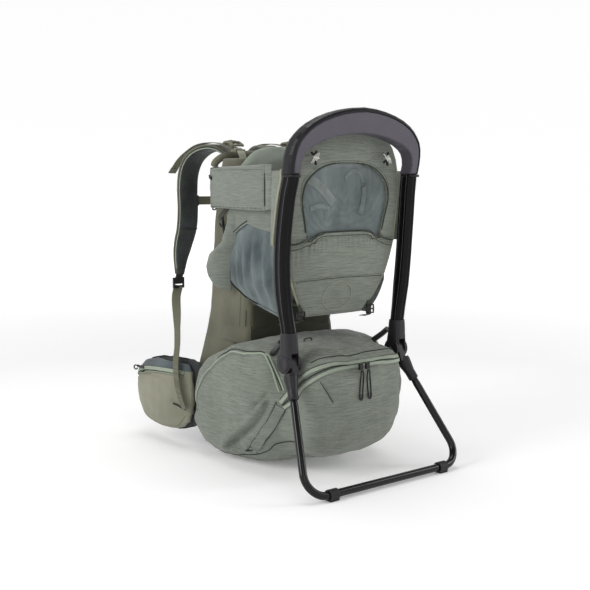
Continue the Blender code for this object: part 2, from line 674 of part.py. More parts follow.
def drool():
    """Padded bar in front of the child's chin, bowed forwards."""
    rings = []
    for x, z0, z1, y, t in ((-0.106, 0.606, 0.644, 0.006, 0.012), (-0.100, 0.596, 0.666, 0.014, 0.022), (-0.072, 0.592, 0.684, 0.024, 0.028),
                            (-0.030, 0.592, 0.691, 0.030, 0.030), (0.030, 0.592, 0.691, 0.030, 0.030), (0.072, 0.592, 0.684, 0.024, 0.028),
                            (0.100, 0.596, 0.666, 0.014, 0.022), (0.106, 0.606, 0.644, 0.006, 0.012)):
        lean = 0.012
        rings.append([Vector((x, y - 0.012 + a * t / 2 + lean * (b + 1) / 2, (z0 + z1) / 2 + b * (z1 - z0) / 2)) for a, b in
                      ((-1, -0.8), (-0.7, -1), (0.7, -1), (1, -0.8), (1, 0.7), (0.5, 1), (-0.5, 1), (-1, 0.7))])
    return rings_to_bm(rings)


add("drool_pad", drool(), "pad_green")


def seat_pad():
    """Saddle cushion between the child's legs, on a backrest strip that runs in the column's channel."""
    rings = []
    for y, w, z0, z1 in ((-0.114, 0.060, SEAT_Z + 0.004, SEAT_Z + 0.018), (-0.104, 0.088, SEAT_Z, SEAT_Z + 0.026), (-0.070, 0.094, SEAT_Z - 0.002, SEAT_Z + 0.028),
                         (-0.035, 0.078, SEAT_Z, SEAT_Z + 0.028), (-0.012, 0.050, SEAT_Z + 0.002, SEAT_Z + 0.034), (-0.004, 0.044, SEAT_Z + 0.006, SEAT_Z + 0.034)):
        rings.append([Vector((x * w, y, zz)) for x, zz in ((-1, (z0 + z1) / 2), (-0.9, z0 + 0.003), (-0.6, z0), (0.6, z0), (0.9, z0 + 0.003),
                                                          (1, (z0 + z1) / 2), (0.9, z1 - 0.003), (0.6, z1), (-0.6, z1), (-0.9, z1 - 0.003))])
    return rings_to_bm(rings)


add("seat_pad", seat_pad(), "pad_green", "seat_slide")


def harness():
    """Two shoulder straps rising from the seat's rear edge up the inside of the rear panel."""
    return sweep([(0.046, -0.100, 0.384), (0.047, -0.124, 0.402), (0.047, -0.138, 0.440), (0.047, -0.1435, 0.500), (0.048, -0.1430, 0.560),
                  (0.050, -0.1360, 0.590)], flat(0.024, 0.003), (1, 0, 0))


def harness_cross():
    """Webbing that joins the two straps low down, behind the child."""
    return sweep([(-0.050, -0.1400, 0.4480), (0.050, -0.1400, 0.4480)], flat(0.024, 0.0046), (0, 0, 1))


o = add("harness_straps", harness(), "webbing", "seat_slide")
boolean(o, cutter("join_harness_left", mirrored(harness()), "seat_slide"), "UNION")
boolean(o, cutter("join_harness_cross", harness_cross(), "seat_slide"), "UNION")


# ------------------------------------------------------------------ trim on the cockpit
def hook():
    """Open hook that the sun canopy or rain cover loops onto, on a small base."""
    path = []
    for k in range(9):
        a = math.radians(-60 + 250 * k / 8)
        path.append((0.098 + 0.0065 * math.cos(a), -0.1745 - 0.0035, 0.658 + 0.0080 * math.sin(a)))
    bm = sweep(path, circle(0.0017, 6), (0, 1, 0))
    return bm


def hook_base():
    return box((0.0945, -0.1790, 0.6420), (0.1015, -0.1640, 0.6535))


pair("canopy_hook", hook, "hook_light", cuts=(("UNION", hook_base),))


def lifter_buckle():
    return box((0.0690, 0.088, 0.6795), (0.0950, 0.108, 0.6850))


pair("lifter_buckle", lifter_buckle, "buckle", cuts=(("DIFFERENCE", lambda: box((0.0725, 0.093, 0.67), (0.0915, 0.0965, 0.70))),))


def lifter():
    """Load lifter webbing from the frame's top out over the strap, with its loose tail."""
    pts = smooth_path([(0.0820, 0.1090, 0.6885), (0.0820, 0.1500, 0.6975), (0.0830, 0.2000, 0.7020), (0.0860, 0.2480, 0.6980),
                       (0.0905, 0.2860, 0.6830), (0.0930, 0.3200, 0.6640), (0.0945, 0.3530, 0.6360)], 2)
    return sweep(pts, flat(0.020, 0.0016), (1, 0, 0))


pair("load_lifter", lifter, "webbing")

# ------------------------------------------------------------------ shoulder harness on its slider
o = add("yoke_pad", box((-0.090, 0.0990, 0.455), (0.090, 0.1290, 0.662)), "olive", "yoke_slide")
bevel(o, 0.010, 2, 50)

STRAP = smooth_path([(0.052, 0.1370, 0.6300), (0.054, 0.1430, 0.6620), (0.061, 0.1640, 0.6830), (0.070, 0.2000, 0.6915), (0.080, 0.2400, 0.6850),
                     (0.090, 0.2720, 0.6650), (0.097, 0.2890, 0.6340), (0.100, 0.2930, 0.5950), (0.100, 0.2910, 0.5500), (0.1010, 0.2920, 0.5050),
                     (0.1040, 0.2990, 0.4650), (0.1090, 0.3040, 0.4300), (0.1140, 0.3010, 0.3930)], 2)


def strap_scale(t):
    w = interp([(0.0, 0.86), (0.15, 1.0), (0.70, 1.0), (0.86, 0.86), (0.95, 0.50), (1.0, 0.40)], t)
    return (w, 1.0 if t < 0.9 else 0.75)


def strap():
    return sweep(STRAP, rounded(0.058, 0.014, 0.0055, 1), (1, 0, 0), scale=strap_scale)


pair("shoulder_strap", strap, "mesh_dark", ("yoke_slide", "yoke_slide"))


def ladder_lock():
    return box((0.1010, 0.2965, 0.3600), (0.1310, 0.3015, 0.3855))


pair("strap_ladder_lock", ladder_lock, "buckle", ("yoke_slide", "yoke_slide"),
     cuts=(("DIFFERENCE", lambda: box((0.1040, 0.28, 0.3665), (0.1280, 0.32, 0.3700))),))


def strap_webbing():
    pts = smooth_path([(0.1200, 0.2985, 0.3570), (0.1300, 0.2880, 0.3350), (0.1480, 0.2560, 0.2900), (0.1680, 0.2240, 0.2450), (0.1860, 0.2020, 0.2000),
                       (0.1905, 0.1880, 0.1600), (0.1850, 0.1780, 0.1180), (0.1790, 0.1700, 0.0980)], 2)
    return sweep(pts, flat(0.022, 0.0018), lambda t: (0.75 - 0.75 * min(1, t * 1.5), 0.4 + 0.6 * t, 0.0))


pair("strap_webbing", strap_webbing, "webbing")


def sternum_web():
    """Short webbing from the strap to the buckle, with its rail clip at the strap."""
    return sweep([(0.0685, 0.2825, 0.5680), (0.0560, 0.2800, 0.5680), (0.0330, 0.2780, 0.5680)], flat(0.020, 0.0018), (0, 0, 1))


def rail_clip():
    return box((0.0660, 0.2775, 0.5560), (0.0700, 0.2875, 0.5800))


pair("sternum_webbing", sternum_web, "webbing", ("sternum_slide", "sternum_slide"), cuts=(("UNION", rail_clip),))


def female(x0, x1, y0, y1, z0, z1, wall_t=0.0018):
    """Side-release socket: a flat shell open at one end and at both sides."""
    return box((x0, y0, z0), (x1, y1, z1))


def socket_cut(x0, x1, y0, y1, z0, z1, t=0.0016):
    return box((x0, y0 + t, z0 + t), (x1, y1 - t, z1 - t))


o = add("sternum_buckle_female", box((-0.0322, 0.2740, 0.5570), (-0.0040, 0.2820, 0.5790)), "buckle", "sternum_slide")
boolean(o, cutter("cut_sternum_female", socket_cut(-0.0270, 0.0100, 0.2740, 0.2820, 0.5570, 0.5790), "sternum_slide"))


def male(x_tip, x_base, x_end, y0, y1, z0, z1, gap):
    """Side-release plug: a base bar with a guide tongue and two sprung prongs."""
    pts = [(x_end, z0), (x_end, z1), (x_base, z1)]
    zm = (z0 + z1) / 2
    h = (z1 - z0) / 2 - gap
    pts += [(x_base, zm + h), (x_tip, zm + h - 0.002), (x_tip, zm + h - 0.005), (x_base + (x_tip - x_base) * 0.25, zm + h - 0.005),
            (x_base + (x_tip - x_base) * 0.25, zm + 0.0015), (x_tip, zm + 0.0015), (x_tip, zm - 0.0015), (x_base + (x_tip - x_base) * 0.25, zm - 0.0015),
            (x_base + (x_tip - x_base) * 0.25, zm - h + 0.005), (x_tip, zm - h + 0.005), (x_tip, zm - h + 0.002), (x_base, zm - h), (x_base, z0)]
    return prism(pts, "y", y0, y1)


add("sternum_buckle_male", male(-0.0230, 0.0, 0.0322, 0.2762, 0.2798, 0.5570, 0.5790, 0.0023), "buckle", "sternum_slide", smooth=False)

# ------------------------------------------------------------------ hip belt
POCKET_ROWS = [(0.036, 0.225, 0.320, 0.010), (0.044, 0.200, 0.340, 0.018), (0.060, 0.182, 0.360, 0.024), (0.085, 0.172, 0.378, 0.027), (0.115, 0.170, 0.387, 0.0275),
               (0.145, 0.170, 0.386, 0.0265), (0.170, 0.172, 0.374, 0.0245), (0.188, 0.176, 0.352, 0.021), (0.200, 0.190, 0.300, 0.013)]
WING_ROWS = [(0.034, 0.230, 0.290), (0.048, 0.180, 0.340), (0.072, 0.158, 0.370), (0.104, 0.152, 0.388), (0.140, 0.150, 0.393),
             (0.168, 0.150, 0.384), (0.190, 0.154, 0.355), (0.202, 0.168, 0.305), (0.208, 0.190, 0.245)]
WING_PLAN = [(0.150, 0.1352), (0.165, 0.1405), (0.185, 0.1470), (0.215, 0.1530), (0.255, 0.1565), (0.300, 0.1565), (0.345, 0.1550), (0.375, 0.1520), (0.400, 0.1480)]


def wing_x(y):
    return interp(WING_PLAN, y)


def wing():
    """Padded wing of the hip belt: turned in at its root, and again towards the buckle."""
    return wall([(z, y0, y1, wing_x, 0.012) for z, y0, y1 in WING_ROWS], 9)


def pocket():
    """Zipped pouch sewn on the outside of the wing: follows its curve, rounded over towards its own outline."""
    rings = []
    for z, y0, y1, t in POCKET_ROWS:
        inner, outer = [], []
        for i in range(11):
            k = i / 10
            y = y0 + (y1 - y0) * k
            x = wing_x(y) + 0.0074
            inner.append(Vector((x, y, z)))
            outer.append(Vector((x + t * ((0.45 + 0.35 * k) + (0.55 - 0.35 * k) * math.sin(math.pi * k) ** 0.45), y, z)))
        rings.append(inner + list(reversed(outer)))
    return rings_to_bm(rings)


pair("hip_wing", wing, "mesh_dark", ("wing_pivot_left", "wing_pivot_right"))
pair("hip_pocket", pocket, "olive", ("wing_pivot_left", "wing_pivot_right"))


def belt_web():
    return sweep(smooth_path([(0.1458, 0.3300, 0.122), (0.1440, 0.3550, 0.122), (0.1375, 0.3790, 0.122), (0.1255, 0.3935, 0.121), (0.1092, 0.3975, 0.1205)], 2),
                 flat(0.036, 0.0020), (0, 0, 1))


pair("hip_belt_webbing", belt_web, "webbing", ("wing_pivot_left", "wing_pivot_right"))

o = add("hip_buckle_female", box((-0.1072, 0.3925, 0.0970), (-0.0640, 0.4035, 0.1430)), "buckle", "wing_pivot_left")
bevel(o, 0.002, 1, 50)
boolean(o, cutter("cut_hip_female", socket_cut(-0.0960, -0.0500, 0.3925, 0.4035, 0.0970, 0.1430, 0.0022), "wing_pivot_left"))
add("hip_buckle_male", male(0.0600, 0.0920, 0.1072, 0.3950, 0.4005, 0.0970, 0.1430, 0.0032), "buckle", "wing_pivot_right", smooth=False)


def hip_slider():
    return box((0.1868, 0.3440, 0.1655), (0.1900, 0.3570, 0.1725))


for side in ("left", "right"):
    bm = hip_slider()
    tab = box((0.1872, 0.3570, 0.1650), (0.1897, 0.3750, 0.1710))
    if side == "left":
        bm, tab = mirrored(bm), mirrored(tab)
    bmesh.ops.translate(bm, verts=bm.verts, vec=(0, 0, 0))
    o = add(f"hip_zip_slider_{side}", bm, "buckle", f"hip_zip_{side}", smooth=False)
    bmesh.ops.translate(tab, verts=tab.verts, vec=(0, -0.0006, 0))
    boolean(o, cutter(f"join_tab_{side}", tab, f"hip_zip_{side}"), "UNION")

# ------------------------------------------------------------------ cargo bag zip
for side, x in (("left", -0.016), ("right", 0.002)):
    o = add(f"bag_zip_slider_{side}", box((x - 0.0045, -0.2428, 0.2310), (x + 0.0045, -0.2378, 0.2440)), "buckle", f"bag_zip_{side}", smooth=False)
    add(f"bag_zip_pull_{side}", prism([(x - 0.0030, 0.2305), (x + 0.0030, 0.2305), (x + 0.0040, 0.1800), (x + 0.0030, 0.1660), (x - 0.0030, 0.1660), (x - 0.0040, 0.1800)],
                                      "y", -0.2460, -0.2431), "cord_black", f"pull_pivot_{side}", smooth=False)
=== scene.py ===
"""Looks of a framed child carrier backpack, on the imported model's frame. Metres, +Z up, +Y the way the wearer faces."""
import json
import math

import bmesh
import bpy
import numpy as np
from mathutils import Matrix, Vector, noise
from mathutils.bvhtree import BVHTree

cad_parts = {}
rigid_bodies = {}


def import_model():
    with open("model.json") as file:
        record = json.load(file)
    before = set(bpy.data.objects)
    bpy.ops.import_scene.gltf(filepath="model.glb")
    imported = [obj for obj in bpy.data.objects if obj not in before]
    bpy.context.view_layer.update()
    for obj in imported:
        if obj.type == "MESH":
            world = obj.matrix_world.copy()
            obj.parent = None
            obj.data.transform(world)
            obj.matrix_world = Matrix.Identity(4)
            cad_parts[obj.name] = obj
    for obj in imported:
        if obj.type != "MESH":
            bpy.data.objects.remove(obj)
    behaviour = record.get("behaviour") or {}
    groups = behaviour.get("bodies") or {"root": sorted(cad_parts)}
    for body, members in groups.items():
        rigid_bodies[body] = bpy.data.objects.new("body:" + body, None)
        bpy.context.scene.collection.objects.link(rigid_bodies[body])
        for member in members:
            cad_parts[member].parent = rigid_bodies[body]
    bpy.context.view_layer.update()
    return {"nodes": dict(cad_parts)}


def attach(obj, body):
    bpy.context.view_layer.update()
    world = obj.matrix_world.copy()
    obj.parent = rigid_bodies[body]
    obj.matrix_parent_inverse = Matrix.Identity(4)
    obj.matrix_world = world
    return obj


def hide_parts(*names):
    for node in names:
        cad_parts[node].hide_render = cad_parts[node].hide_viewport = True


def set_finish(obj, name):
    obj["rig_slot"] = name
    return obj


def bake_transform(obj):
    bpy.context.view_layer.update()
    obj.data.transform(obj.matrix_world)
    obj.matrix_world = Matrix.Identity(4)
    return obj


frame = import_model()
NODES = frame["nodes"]
YS = -0.0408                  # the carrier's own frame (mirror plane x = 0) against the row frame
SC = bpy.context.scene


def V(x, y, z):
    return Vector((x, y + YS, z))


def interp(pts, v):
    for (a, p), (b, q) in zip(pts, pts[1:]):
        if v <= b:
            return p + (q - p) * max(0.0, (v - a) / (b - a))
    return pts[-1][1]


def sm(t):
    t = min(1.0, max(0.0, t))
    return t * t * (3 - 2 * t)


def spline(points, n):
    """n points evenly spaced along a Catmull-Rom curve through points."""
    p = [Vector(q) for q in points]
    p = [2 * p[0] - p[1], *p, 2 * p[-1] - p[-2]]
    fine = []
    for i in range(1, len(p) - 2):
        for k in range(16):
            t = k / 16
            a, b, c, d = p[i - 1], p[i], p[i + 1], p[i + 2]
            fine.append(0.5 * ((2 * b) + (c - a) * t + (2 * a - 5 * b + 4 * c - d) * t * t + (3 * b - a - 3 * c + d) * t ** 3))
    fine.append(p[-2])
    s = [0.0]
    for a, b in zip(fine, fine[1:]):
        s.append(s[-1] + (b - a).length)
    out, j = [], 0
    for i in range(n):
        d = s[-1] * i / (n - 1)
        while j < len(s) - 2 and s[j + 1] < d:
            j += 1
        out.append(fine[j].lerp(fine[j + 1], (d - s[j]) / max(1e-9, s[j + 1] - s[j])))
    return out


# ------------------------------------------------------------------ materials
def rgb(r, g, b):
    return tuple((c / 255 / 12.92) if c / 255 <= 0.04045 else ((c / 255 + 0.055) / 1.055) ** 2.4 for c in (r, g, b))


class Mat:
    def __init__(self, name, rough=0.6, metallic=0.0, sheen=0.0, coat=0.0, alpha=1.0, ior=1.5, spec=0.22):
        self.m = bpy.data.materials.new(name)
        self.m.use_nodes = True
        self.t = self.m.node_tree
        self.b = self.t.nodes["Principled BSDF"]
        self.b.inputs["Roughness"].default_value = rough
        self.b.inputs["Metallic"].default_value = metallic
        self.b.inputs["Sheen Weight"].default_value = sheen
        self.b.inputs["Sheen Roughness"].default_value = 0.45
        self.b.inputs["Coat Weight"].default_value = coat
        self.b.inputs["Coat Roughness"].default_value = 0.12
        self.b.inputs["Alpha"].default_value = alpha
        self.b.inputs["IOR"].default_value = ior
        self.b.inputs["Specular IOR Level"].default_value = spec
        self.co = self.n("ShaderNodeTexCoord").outputs["Object"]

    def n(self, kind, **kw):
        node = self.t.nodes.new(kind)
        for k, v in kw.items():
            setattr(node, k, v)
        return node

    def link(self, a, b):
        self.t.links.new(a, b)

    def mapped(self, scale, rot=(0, 0, 0)):
        m = self.n("ShaderNodeMapping")
        m.inputs["Scale"].default_value = scale
        m.inputs["Rotation"].default_value = rot
        self.link(self.co, m.inputs["Vector"])
        return m.outputs["Vector"]

    def noise(self, scale, detail=2.0, rot=(0, 0, 0), rough=0.5):
        t = self.n("ShaderNodeTexNoise")
        t.inputs["Scale"].default_value = 1.0
        t.inputs["Detail"].default_value = detail
        t.inputs["Roughness"].default_value = rough
        self.link(self.mapped(scale, rot), t.inputs["Vector"])
        return t.outputs["Fac"]

    def wave(self, direction, pitch, rot=(0, 0, 0), distort=0.0):
        t = self.n("ShaderNodeTexWave", wave_type="BANDS", bands_direction=direction)
        t.inputs["Scale"].default_value = 0.314159 / pitch
        t.inputs["Distortion"].default_value = distort
        self.link(self.mapped((1, 1, 1), rot), t.inputs["Vector"])
        return t.outputs["Fac"]

    def dots(self, pitch, lo=0.18, hi=0.34, squash=(1, 1, 1)):
        t = self.n("ShaderNodeTexVoronoi")
        t.inputs["Scale"].default_value = 1.0
        t.inputs["Randomness"].default_value = 0.25
        self.link(self.mapped(tuple(k / pitch for k in squash)), t.inputs["Vector"])
        return self.ramp(t.outputs["Distance"], [(lo, (0, 0, 0, 1)), (hi, (1, 1, 1, 1))])

    def ramp(self, fac, stops):
        r = self.n("ShaderNodeValToRGB")
        e = r.color_ramp.elements
        while len(e) < len(stops):
            e.new(0.5)
        for i, (p, c) in enumerate(stops):
            e[i].position = p
            e[i].color = c if len(c) == 4 else (*c, 1)
        self.link(fac, r.inputs["Fac"])
        return r.outputs["Color"]

    def mul(self, a, b):
        m = self.n("ShaderNodeMix", data_type="RGBA", blend_type="MULTIPLY")
        m.inputs["Factor"].default_value = 1.0
        self.link(a, m.inputs["A"])
        self.link(b, m.inputs["B"])
        return m.outputs["Result"]

    def add(self, a, b, k=1.0):
        m = self.n("ShaderNodeMath", operation="MULTIPLY_ADD")
        self.link(b, m.inputs[0])
        m.inputs[1].default_value = k
        self.link(a, m.inputs[2])
        return m.outputs[0]

    def base(self, col):
        self.link(col, self.b.inputs["Base Color"])

    def rough(self, fac, lo, hi):
        self.link(self.ramp(fac, [(0.25, (lo,) * 3), (0.75, (hi,) * 3)]), self.b.inputs["Roughness"])

    def bump(self, height, strength=0.5, dist=0.0004):
        b = self.n("ShaderNodeBump")
        b.inputs["Strength"].default_value = strength
        b.inputs["Distance"].default_value = dist
        self.link(height, b.inputs["Height"])
        self.link(b.outputs["Normal"], self.b.inputs["Normal"])


def heather(name, dark, light, streak=1.0):
    """Two-tone yarn: fine level streaks of uneven length, over a plain weave."""
    m = Mat(name, 0.88, sheen=0.18)
    s = m.noise((30, 30, 900), 3.0, rough=0.75)
    f = m.noise((420, 420, 1500), 2.0)
    big = m.noise((7, 7, 7), 2.0)
    col = m.ramp(m.add(m.add(s, f, 0.45 * streak), big, 0.25), [(0.55, dark), (1.05, light)])
    m.base(col)
    m.bump(m.add(m.add(m.wave("Z", 0.0011, distort=1.2), m.wave("X", 0.0011, distort=1.2), 0.6), s, 1.6), 0.45, 0.00035)
    return m.m


def smooth_cloth(name, dark, light, rough=0.85, sheen=0.2):
    m = Mat(name, rough, sheen=sheen)
    m.base(m.ramp(m.add(m.noise((9, 9, 9), 3.0), m.noise((900, 900, 900), 1.0), 0.35), [(0.42, dark), (0.95, light)]))
    m.bump(m.add(m.wave("Z", 0.0008, (0.5, 0.5, 0)), m.noise((300, 300, 300), 2.0), 1.0), 0.35, 0.00025)
    return m.m


def net(name, dark, light, pitch=0.0024, alpha=1.0, rough=0.75, soft=0.25):
    m = Mat(name, rough, sheen=soft, alpha=alpha)
    d = m.dots(pitch, 0.20, 0.42)
    tone = m.ramp(m.noise((16, 16, 10), 3.0), [(0.30, dark), (0.72, light)])
    m.base(m.mul(tone, m.ramp(d, [(0.0, (0.62, 0.62, 0.62)), (1.0, (1, 1, 1))])))
    m.bump(d, 0.7, 0.0006)
    return m.m


def ribbed(name, dark, light, pitch=0.0013, rough=0.72):
    m = Mat(name, rough, sheen=0.15)
    w = m.wave("Z", pitch, (0.0, 0.0, 0.0), 0.4)
    k = m.wave("X", pitch * 1.2, (0.0, 0.0, 0.0), 0.4)
    m.base(m.ramp(m.add(m.add(w, k, 0.6), m.noise((700, 700, 700), 1.0), 0.6), [(0.55, dark), (1.55, light)]))
    m.bump(m.add(w, k, 0.7), 0.6, 0.0004)
    return m.m


def plastic(name, col, rough=0.45, var=0.12, grain=0.25, coat=0.0, metallic=0.0, spec=0.4):
    m = Mat(name, rough, metallic=metallic, coat=coat, spec=spec)
    big = m.noise((18, 18, 18), 3.0)
    m.base(m.ramp(big, [(0.3, tuple(c * (1 - var) for c in col)), (0.7, tuple(c * (1 + var) for c in col))]))
    fine = m.noise((1400, 1400, 1400), 2.0)
    m.rough(m.noise((40, 40, 40), 4.0), max(0.03, rough * 0.82), min(1.0, rough * 1.2))
    m.bump(fine, grain, 0.00012)
    return m.m


def brushed(name, col, rough=0.32):
    m = Mat(name, rough, metallic=1.0)
    s = m.noise((60, 60, 2400), 2.0)
    m.base(m.ramp(s, [(0.3, tuple(c * 0.85 for c in col)), (0.7, col)]))
    m.rough(s, rough * 0.8, rough * 1.25)
    m.bump(s, 0.15, 0.0001)
    return m.m


M = {
    "heather": heather("heather_sage", rgb(78, 82, 75), rgb(132, 138, 128)),
    "heather_light": heather("heather_band", rgb(86, 91, 84), rgb(126, 132, 123)),
    "olive": smooth_cloth("olive_stretch", rgb(76, 76, 64), rgb(113, 112, 96)),
    # darker copy of the olive: painted shade for the column's rear wall and hem under the panel
    "olive_painted_shade": smooth_cloth("olive_in_painted_shade", rgb(44, 45, 36), rgb(66, 66, 54)),
    "pocket": smooth_cloth("pocket_taupe", rgb(112, 112, 97), rgb(146, 145, 128)),
    "mint": smooth_cloth("mint_pad", rgb(98, 105, 96), rgb(126, 134, 123), 0.8, 0.3),
    "mint_trim": smooth_cloth("mint_trim", rgb(126, 136, 122), rgb(156, 165, 149), 0.7, 0.1),
    "cream_trim": smooth_cloth("cream_trim", rgb(128, 129, 108), rgb(160, 160, 138), 0.7, 0.1),
    "window": net("window_net", rgb(70, 79, 79), rgb(118, 127, 127), 0.0018, alpha=0.94),
    "net_light": net("window_net_doubled", rgb(92, 100, 98), rgb(122, 130, 127), 0.0018),
    "net_blue": net("side_net", rgb(60, 70, 73), rgb(118, 129, 129), 0.0018),
    "net_dark": net("spacer_net", rgb(40, 43, 43), rgb(72, 76, 76), 0.0034, rough=0.85),
    "net_pocket": net("pocket_net", rgb(64, 73, 76), rgb(90, 100, 102), 0.0016),
    "webbing": ribbed("webbing_olive", rgb(66, 67, 54), rgb(104, 104, 86)),
    "webbing_dark": ribbed("webbing_dark", rgb(34, 35, 30), rgb(58, 59, 50)),
    "webbing_light": ribbed("webbing_light", rgb(112, 116, 102), rgb(150, 152, 136)),
    # near-black cloth: real cords and bindings, and also the painted shadow in the cuff gap and along the panel edge
    "black_cloth": smooth_cloth("black_binding_and_painted_shadow", rgb(16, 17, 16), rgb(32, 33, 32), 0.8, 0.1),
    # dark thread colour: real stitches and seams, and also the painted shade tapes in creases (bag rear fold, column
    # crease, band fold)
    "stitch": smooth_cloth("dark_stitch_and_painted_crease_shade", rgb(40, 44, 38), rgb(62, 66, 58), 0.8, 0.0),
    "frame_black": plastic("anodised_black", rgb(9, 8, 9), 0.24, 0.10, 0.02, coat=0.0, spec=0.14),
    # painted highlight: grey for the thin highlight lines laid along the black hoop legs
    "leg_highlight_paint": plastic("painted_leg_highlight", rgb(76, 74, 80), 0.30, 0.08, 0.02, coat=0.0, spec=0.4),
    "arch_rim": plastic("arch_rim_black", rgb(20, 19, 22), 0.36, 0.10, 0.10, spec=0.24),
    "arch_face": plastic("arch_grey", rgb(76, 73, 81), 0.46, 0.05, 0.15, spec=0.35),
    "knuckle": plastic("knuckle_grey", rgb(30, 28, 32), 0.40, 0.08, 0.15, spec=0.3),
    "tube": plastic("tube_gloss", rgb(7, 7, 8), 0.16, 0.10, 0.01, coat=0.12, spec=0.26),
    "rubber": plastic("rubber_foot", rgb(26, 26, 27), 0.62, 0.15, 0.5),
    "buckle": plastic("buckle_dark", rgb(38, 39, 35), 0.42, 0.12, 0.3),
    "buckle_olive": plastic("buckle_olive", rgb(98, 98, 82), 0.42, 0.10, 0.3),
    "hook": plastic("hook_light", rgb(198, 198, 190), 0.32, 0.05, 0.1, coat=0.3),
    "black": plastic("black_moulded", rgb(14, 14, 14), 0.35, 0.15, 0.2),
    "steel": brushed("pin_steel", (0.56, 0.57, 0.58)),
    "aluminium": brushed("tube_anodised", (0.10, 0.10, 0.105), 0.36),
}


# ------------------------------------------------------------------ mesh helpers
def obj(name, bm, mat, body, smooth=True, mats=None):
    me = bpy.data.meshes.new(name)
    bmesh.ops.recalc_face_normals(bm, faces=bm.faces)
    bm.to_mesh(me)
    bm.free()
    for p in me.polygons:
        p.use_smooth = smooth
    me.materials.append(M[mat])
    for k in mats or ():
        me.materials.append(M[k])
    o = bpy.data.objects.new(name, me)
    SC.collection.objects.link(o)
    o["b"] = body or ""
    return o


def loft(rings, bm=None, caps=True, closed=True):
    bm = bm or bmesh.new()
    loops = [[bm.verts.new(v) for v in r] for r in rings]
    n = len(loops[0])
    for a, b in zip(loops, loops[1:]):
        for i in range(n if closed else n - 1):
            bm.faces.new((a[i], a[(i + 1) % n], b[(i + 1) % n], b[i]))
    if caps:
        for lp in (loops[0], loops[-1]):
            c = Vector((0, 0, 0))
            for v in lp:
                c += v.co
            cv = bm.verts.new(c / n)
            for i in range(n):
                bm.faces.new((lp[i], lp[(i + 1) % n], cv))
    return bm


def frames(path, side):
    out = []
    for i, p in enumerate(path):
        t = (path[min(i + 1, len(path) - 1)] - path[max(i - 1, 0)]).normalized()
        s = Vector(side[i] if isinstance(side, list) else (side(i / (len(path) - 1)) if callable(side) else side))
        n = (s - s.dot(t) * t).normalized()
        out.append((p, n, t.cross(n)))
    return out


def sweep(path, profile, side, scale=None, bm=None, caps=True):
    rings = []
    for i, (p, n, b) in enumerate(frames(path, side)):
        k = scale(i / (len(path) - 1)) if scale else (1, 1)
        rings.append([p + n * (u * k[0]) + b * (v * k[1]) for u, v in profile])
    return loft(rings, bm, caps)


def circ(r, n=14):
    return [(r * math.cos(2 * math.pi * k / n), r * math.sin(2 * math.pi * k / n)) for k in range(n)]


def oval(w, t, n=20, p=3.0):
    """Rounded strap section: a superellipse."""
    out = []
    for k in range(n):
        a = 2 * math.pi * k / n
        c, s = math.cos(a), math.sin(a)
        out.append((w / 2 * math.copysign(abs(c) ** (2 / p), c), t / 2 * math.copysign(abs(s) ** (2 / p), s)))
    return out


def tube(name, path, r, mat, body, n=10, bm_only=False, bm=None):
    """Round tube with its own carried-along frame, ends domed."""
    t0 = (path[1] - path[0]).normalized()
    s = t0.orthogonal().normalized()
    sides = []
    for i in range(len(path)):
        t = (path[min(i + 1, len(path) - 1)] - path[max(i - 1, 0)]).normalized()
        s = (s - s.dot(t) * t).normalized()
        sides.append(s.copy())
    m = len(path) - 1

    def sc(k):
        i = k * m
        e = 0.62 if (i < 0.5 or i > m - 0.5) else 1.0
        return (e, e)
    bm = sweep(path, circ(r, n), sides, sc, bm)
    return bm if bm_only else obj(name, bm, mat, body)


def strap(name, path, w, t, side, mat, body, n=60, edge=True):
    """Flat webbing: rounded edges, slight cross-crown."""
    pts = spline(path, n) if len(path) < n else path
    return obj(name, sweep(pts, oval(w, t, 18, 5.0), side), mat, body)


def evaluated(o):
    dg = bpy.context.evaluated_depsgraph_get()
    return bpy.data.meshes.new_from_object(o.evaluated_get(dg))


def freeze(o):
    me = evaluated(o)
    o.modifiers.clear()
    old = o.data
    o.data = me
    bpy.data.meshes.remove(old)


SIMS = []


def soft_from(nodes, name, mat, body, voxel=0.005, smooth=8, cap=0.006, pressure=0.0, shape=None):
    """A sewn, stuffed piece grown from the space its CAD solids hold: remeshed, smoothed, then inflated as cloth."""
    bm = bmesh.new()
    for n in nodes:
        bm.from_mesh(NODES[n].data)
    bmesh.ops.remove_doubles(bm, verts=bm.verts, dist=1e-6)
    o = obj(name, bm, mat, body)
    r = o.modifiers.new("r", "REMESH")
    r.mode, r.voxel_size = "VOXEL", voxel
    s = o.modifiers.new("s", "SMOOTH")
    s.iterations, s.factor = smooth, 0.5
    freeze(o)
    if shape:
        for v in o.data.vertices:
            v.co = shape(v.co.copy())
    o["cap"] = cap
    if pressure:
        c = o.modifiers.new("c", "CLOTH")
        c.settings.quality = 4
        c.settings.mass = 0.25
        c.settings.tension_stiffness = c.settings.compression_stiffness = 14
        c.settings.shear_stiffness = 6
        c.settings.bending_stiffness = 0.4
        c.settings.use_pressure = True
        c.settings.uniform_pressure_force = pressure
        c.settings.effector_weights.gravity = 0
        c.collision_settings.use_collision = False
        SIMS.append(o)
    SOFTS.append(o)
    return o


SOFTS = []


def run_sims():
    if SIMS:
        SC.frame_start, SC.frame_end = 1, 16
        rest = {o.name: [v.co.copy() for v in o.data.vertices] for o in SIMS}
        for f in range(1, 17):
            SC.frame_set(f)
        done = {o.name: evaluated(o) for o in SIMS}
        for o in SIMS:
            me = done[o.name]
            old = o.data
            o.modifiers.clear()
            cap = o["cap"]
            for v, p in zip(me.vertices, rest[o.name]):
                d = v.co - p
                if d.length > cap:
                    v.co = p + d.normalized() * cap
            o.data = me
            bpy.data.meshes.remove(old)
        SC.frame_set(1)
    for o in SOFTS:
        s = o.modifiers.new("d", "SUBSURF")
        s.levels = s.render_levels = 1
        freeze(o)
        for p in o.data.polygons:
            p.use_smooth = True


def normals(o):
    return [v.normal.copy() for v in o.data.vertices]


